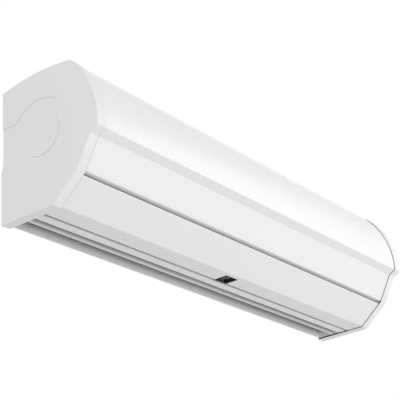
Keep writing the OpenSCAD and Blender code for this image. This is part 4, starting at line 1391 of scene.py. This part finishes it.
@dataclass
class Vanes:
    """The two linked vanes in the outlet."""

    section: Section
    outlet: Outlet
    half: float
    rear_d: float = 34 * MM
    top_z: float = 37 * MM
    foot_w: float = 14 * MM
    foot_h: float = 3.5 * MM
    foot_slope_h: float = 4.2 * MM
    rear_edge: float = 1.6 * MM
    bead_r: float = 3.2 * MM
    lug_x: float = -45.5 * MM
    lug_t: float = 1.5 * MM
    lug_half: float = 3 * MM
    lug_root: float = 2 * MM
    link_z: float = 41 * MM
    edge: float = 0.4 * MM

    def bead(self, d: float) -> Work:
        """The round bead along a vane's pivot.

        Args:
            d: The vane's distance from the wall.

        Returns:
            The bead.
        """
        work = Work("bead", self.section)
        centre = Vector((d, self.outlet.pivot_z))
        return work.rod(work.spot(-self.half, centre), work.spot(self.half, centre), self.bead_r, sides=32)

    def lug(self, d: float) -> Work:
        """The upright lug that carries a vane's link pin.

        Args:
            d: The vane's distance from the wall.

        Returns:
            The lug.
        """
        ends = (self.lug_x, self.lug_x + self.lug_t)
        plate = Work("lug", self.section).block(
            ends, (d - self.lug_half, d + self.lug_half), (self.top_z - self.lug_root, self.link_z)
        )
        eye = Work("lug_eye", self.section)
        centre = Vector((d, self.link_z))
        places = (eye.spot(end, centre) for end in ends)
        return plate.add(eye.rod(*places, self.lug_half, sides=32))

    def front_outline(self) -> list[Point]:
        """Section of the front vane, anticlockwise from the front end of its foot.

        Returns:
            The vane's section.
        """
        half, stem, middle = self.foot_w / 2, self.outlet.vane_t / 2, self.outlet.front_vane_d
        low = self.section.low_z(middle, self.section.rim_low)
        high = low + self.foot_h
        right = [(half, low), (half, high), (stem, high + self.foot_slope_h), (stem, self.top_z)]
        left = [(-d, z) for d, z in reversed(right)]
        return [Vector((middle + d, z)) for d, z in (*right, *left)]

    def rear_outline(self) -> list[Point]:
        """Section of the rear vane, tapered to its lower edge, anticlockwise.

        Returns:
            The vane's section.
        """
        half = self.outlet.vane_t / 2
        low = self.section.low_z(self.rear_d, self.section.rim_low)
        right = [(self.rear_edge / 2, low), (half, self.outlet.pivot_z), (half, self.top_z)]
        left = [(-d, z) for d, z in reversed(right)]
        return [Vector((self.rear_d + d, z)) for d, z in (*right, *left)]

    def vane(self, name: str, outline: list[Point], d: float) -> Work:
        """One vane with its bead and its lug."""
        blade = Work(name, self.section).bar(outline, (-self.half, self.half)).soften(self.edge, angle=30)
        return blade.add(self.bead(d)).add(self.lug(d)).clean()

    def build(self) -> None:
        """Makes both vanes."""
        front = self.vane("front_vane_blade", self.front_outline(), self.outlet.front_vane_d)
        front.finish(Body.FRONT_VANE, "vane_white", VANE_PAINT_WITH_SHADE, "front_vane")
        rear = self.vane("rear_vane_blade", self.rear_outline(), self.rear_d)
        rear.finish(Body.REAR_VANE, "vane_white", VANE_PAINT_WITH_SHADE, "rear_vane")


@dataclass
class LeverAndPocket:
    """The finger lever that turns the vanes, and the black pocket that it moves in."""

    section: Section
    outlet: Outlet
    x: float = 6 * MM
    pad_half: float = 6 * MM
    arm_half: float = 3 * MM
    pad_start: float = 6.5 * MM
    pad_l: float = 10 * MM
    pad_corner: float = 2 * MM
    arm_rise: float = 4.5 * MM
    arm_t: float = 4 * MM
    foot_half: float = 7 * MM
    foot_t: float = 2 * MM
    foot_rise: float = 4.5 * MM
    foot_h: float = 10 * MM
    riser_t: float = 3 * MM
    lever_edge: float = 0.5 * MM
    ridges: int = 3
    ridge_start: float = 2 * MM
    ridge_pitch: float = 3 * MM
    ridge_half: float = 5 * MM
    ridge_r: float = 0.7 * MM
    pocket_h: float = 18 * MM
    wall: float = 1.5 * MM
    gap: float = 0.2 * MM
    hollow_round: float = 1 * MM
    slit_room: float = 2 * MM
    tray_edge: float = 0.25 * MM

    def lever(self) -> None:
        """The lever: foot on the vane, riser, arm and ridged pad."""
        s, x = self.section, self.x
        z0 = s.rim_low + self.arm_rise
        z1 = z0 + self.arm_t
        foot_low = self.outlet.pivot_z + self.foot_rise
        foot_z = (foot_low, foot_low + self.foot_h)
        vane_face_d = self.outlet.front_vane_d + self.outlet.vane_t / 2
        riser_d = vane_face_d + self.foot_t
        pad_d = self.outlet.front_d + self.pad_start
        tip_d = pad_d + self.pad_l
        width = (x - self.pad_half, x + self.pad_half)
        pad = Work("lever_moulding", s).block(width, (pad_d, tip_d), (z0, z1))
        pad.round_edges(self.pad_corner, upright, segments=4)
        arm = (x - self.arm_half, x + self.arm_half)
        pad.add(Work("arm", s).block(arm, (riser_d, tip_d - self.pad_corner), (z0, z1)))
        pad.add(Work("riser", s).block(arm, (riser_d, riser_d + self.riser_t), (z0, foot_z[1])))
        foot = (x - self.foot_half, x + self.foot_half)
        pad.add(Work("foot", s).block(foot, (vane_face_d, riser_d), foot_z))
        pad.soften(self.lever_edge)
        for i in range(self.ridges):
            line = Vector((pad_d + self.ridge_start + i * self.ridge_pitch, z0))
            ridge = Work("ridge", s)
            ends = (ridge.spot(x - self.ridge_half, line), ridge.spot(x + self.ridge_half, line))
            pad.add(ridge.rod(*ends, self.ridge_r, sides=16))
        pad.clean().finish(Body.FRONT_VANE, "lever_grey", LEVER_PLASTIC, "louvre_lever")

    def pocket(self) -> None:
        """The pocket: a moulded tray with a flush rim and a slit for the lever's arm."""
        s, hole, low = self.section, self.outlet, self.section.rim_low
        half = hole.pocket_half
        d0, d1 = hole.front_d + self.gap, hole.front_d + hole.pocket_deep
        top = low + self.pocket_h
        rim = low + hole.skin + self.gap
        outer = half + self.wall
        tray = Work("pocket_tray", s).block((-outer, outer), (d0, d1 + self.wall), (rim, top + self.wall))
        ends = (d0, d1 - self.gap)
        flush = [Vector((d, s.low_z(d, low))) for d in ends]
        flush += [Vector((d, rim + MM)) for d in reversed(ends)]
        lip = Work("pocket_lip", s).bar(flush, (self.gap - half, half - self.gap))
        tray.add(lip.round_edges(hole.pocket_corner, upright))
        heights = (low - CLEAR, top)
        inner = half - self.wall
        hollow = Work("hollow", s).block((-inner, inner), (d0 + self.wall, d1 - self.wall), heights)
        tray.cut(hollow.soften(self.hollow_round, segments=3))
        slit = self.arm_half + self.slit_room
        width, depths = (self.x - slit, self.x + slit), (d0 - CLEAR, d0 + 2 * self.wall)
        tray.cut(Work("slit", s).block(width, depths, heights))
        tray.soften(self.tray_edge)
        tray.clean().finish(Body.CASING, "pocket_black", POCKET_PLASTIC, "lever_pocket")

    def build(self) -> None:
        """Makes the lever and its pocket."""
        self.lever()
        self.pocket()


# ---------------------------------------------------------------- studio


@dataclass(frozen=True)
class Lamp:
    """A soft square lamp that points at the unit's middle."""

    name: str
    place: Place
    watts: float
    target: Place = (0, -0.1, -0.03)
    size: float = 1.5

    def build(self) -> None:
        """Hangs the lamp."""
        data = bpy.data.lights.new(self.name, "AREA")
        data.shape = "SQUARE"
        data.size = self.size
        data.energy = self.watts
        lamp = bpy.data.objects.new(self.name, data)
        lamp.location = self.place
        lamp.rotation_euler = (Vector(self.target) - Vector(self.place)).to_track_quat("-Z", "Y").to_euler()
        bpy.context.scene.collection.objects.link(lamp)


@dataclass(frozen=True)
class Studio:
    """Camera, lamps, pale floor and plain white surroundings."""

    eye: Place = (-1.58857, -1.14942, -0.7883)
    yaw: float = 55.0044
    pitch: float = 22.5133
    roll: float = -3.8453
    lens_mm: float = 107.25
    sensor_mm: float = 36.0
    nearest: float = 0.05
    farthest: float = 60.0
    ambient: float = 0.54
    floor_place: Place = (0.0, -1.0, -2.15)
    floor_size: float = 14.0
    lamps: tuple[Lamp, ...] = (
        Lamp("front_lamp", (0.632, -2.46, -0.889), 20.7),
        Lamp("left_lamp", (-2.511, -0.773, 0.0), 14.7),
        Lamp("right_lamp", (1.728, -1.828, 0.889), 14.7),
    )

    def camera(self) -> None:
        """Sets up the camera at the photograph's viewing angle."""
        yaw, pitch, roll = (math.radians(a) for a in (self.yaw, self.pitch, self.roll))
        ahead = Vector((math.sin(yaw) * math.cos(pitch), math.cos(yaw) * math.cos(pitch), math.sin(pitch)))
        level = Vector((math.cos(yaw), -math.sin(yaw), 0))
        plumb = level.cross(ahead)
        right = math.cos(roll) * level + math.sin(roll) * plumb
        up = math.cos(roll) * plumb - math.sin(roll) * level
        data = bpy.data.cameras.new("camera")
        data.lens, data.sensor_width = self.lens_mm, self.sensor_mm
        data.clip_start, data.clip_end = self.nearest, self.farthest
        camera = bpy.data.objects.new("camera", data)
        turn = Matrix((right, up, -ahead)).transposed().to_4x4()
        camera.matrix_world = Matrix.Translation(self.eye) @ turn
        bpy.context.scene.collection.objects.link(camera)
        bpy.context.scene.camera = camera

    def world(self) -> None:
        """Surrounds the unit with even light that looks white to the camera and in reflections."""
        world = bpy.data.worlds.new("studio")
        bpy.context.scene.world = world
        world.use_nodes = True
        recipe = Recipe(world.node_tree)
        path = recipe.node("ShaderNodeLightPath", {}, {})
        seen = sum(
            (recipe.out(path, f"Is {kind} Ray") for kind in ("Glossy", "Transmission")),
            recipe.out(path, "Is Camera Ray"),
        ).at_most(1.0)
        strength = seen * (1 - self.ambient) + self.ambient
        sky = recipe.node("ShaderNodeBackground", {}, {"Color": grey(1.0), "Strength": strength})
        recipe.node("ShaderNodeOutputWorld", {}, {"Surface": recipe.out(sky, 0)})

    def floor(self) -> None:
        """Lays the pale floor, as far under the unit as a doorway is high."""
        bpy.ops.object.select_all(action="DESELECT")
        bpy.ops.mesh.primitive_plane_add(size=self.floor_size, location=self.floor_place)
        floor = bpy.context.object
        floor.name = "studio_floor"
        material = bpy.data.materials.new("pale_floor")
        material.use_nodes = True
        recipe = Recipe(material.node_tree)
        shade = recipe.tone(recipe.noise(3, 2), grey(0.93), grey(0.95))
        recipe.surface(base_color=shade, roughness=0.85)
        floor.data.materials.append(material)

    def build(self) -> None:
        """Sets up the whole studio."""
        bpy.context.scene.view_settings.view_transform = "Standard"
        self.camera()
        self.world()
        self.floor()
        for lamp in self.lamps:
            lamp.build()


def main() -> None:
    """Builds the studio and the unit's looks."""
    logging.basicConfig(level=logging.INFO, format="%(message)s")
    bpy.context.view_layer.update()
    low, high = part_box("left_end_cap")
    section = Section(datum=-low.z - Section.fall)
    outlet = Outlet()
    skin_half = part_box("upper_front_cover")[1].x
    Studio().build()
    dress_inner_parts()
    EndCaps(section, half_l=-low.x, body_half=-high.x).build()
    FrontPanels(section, outlet, skin_half).build()
    TopRail(section, skin_half).build()
    IntakeGrille(section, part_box("top_intake_grille")[1].x).build()
    Vanes(section, outlet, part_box("front_vane")[1].x).build()
    LeverAndPocket(section, outlet).build()


if __name__ == "__main__":
    main()
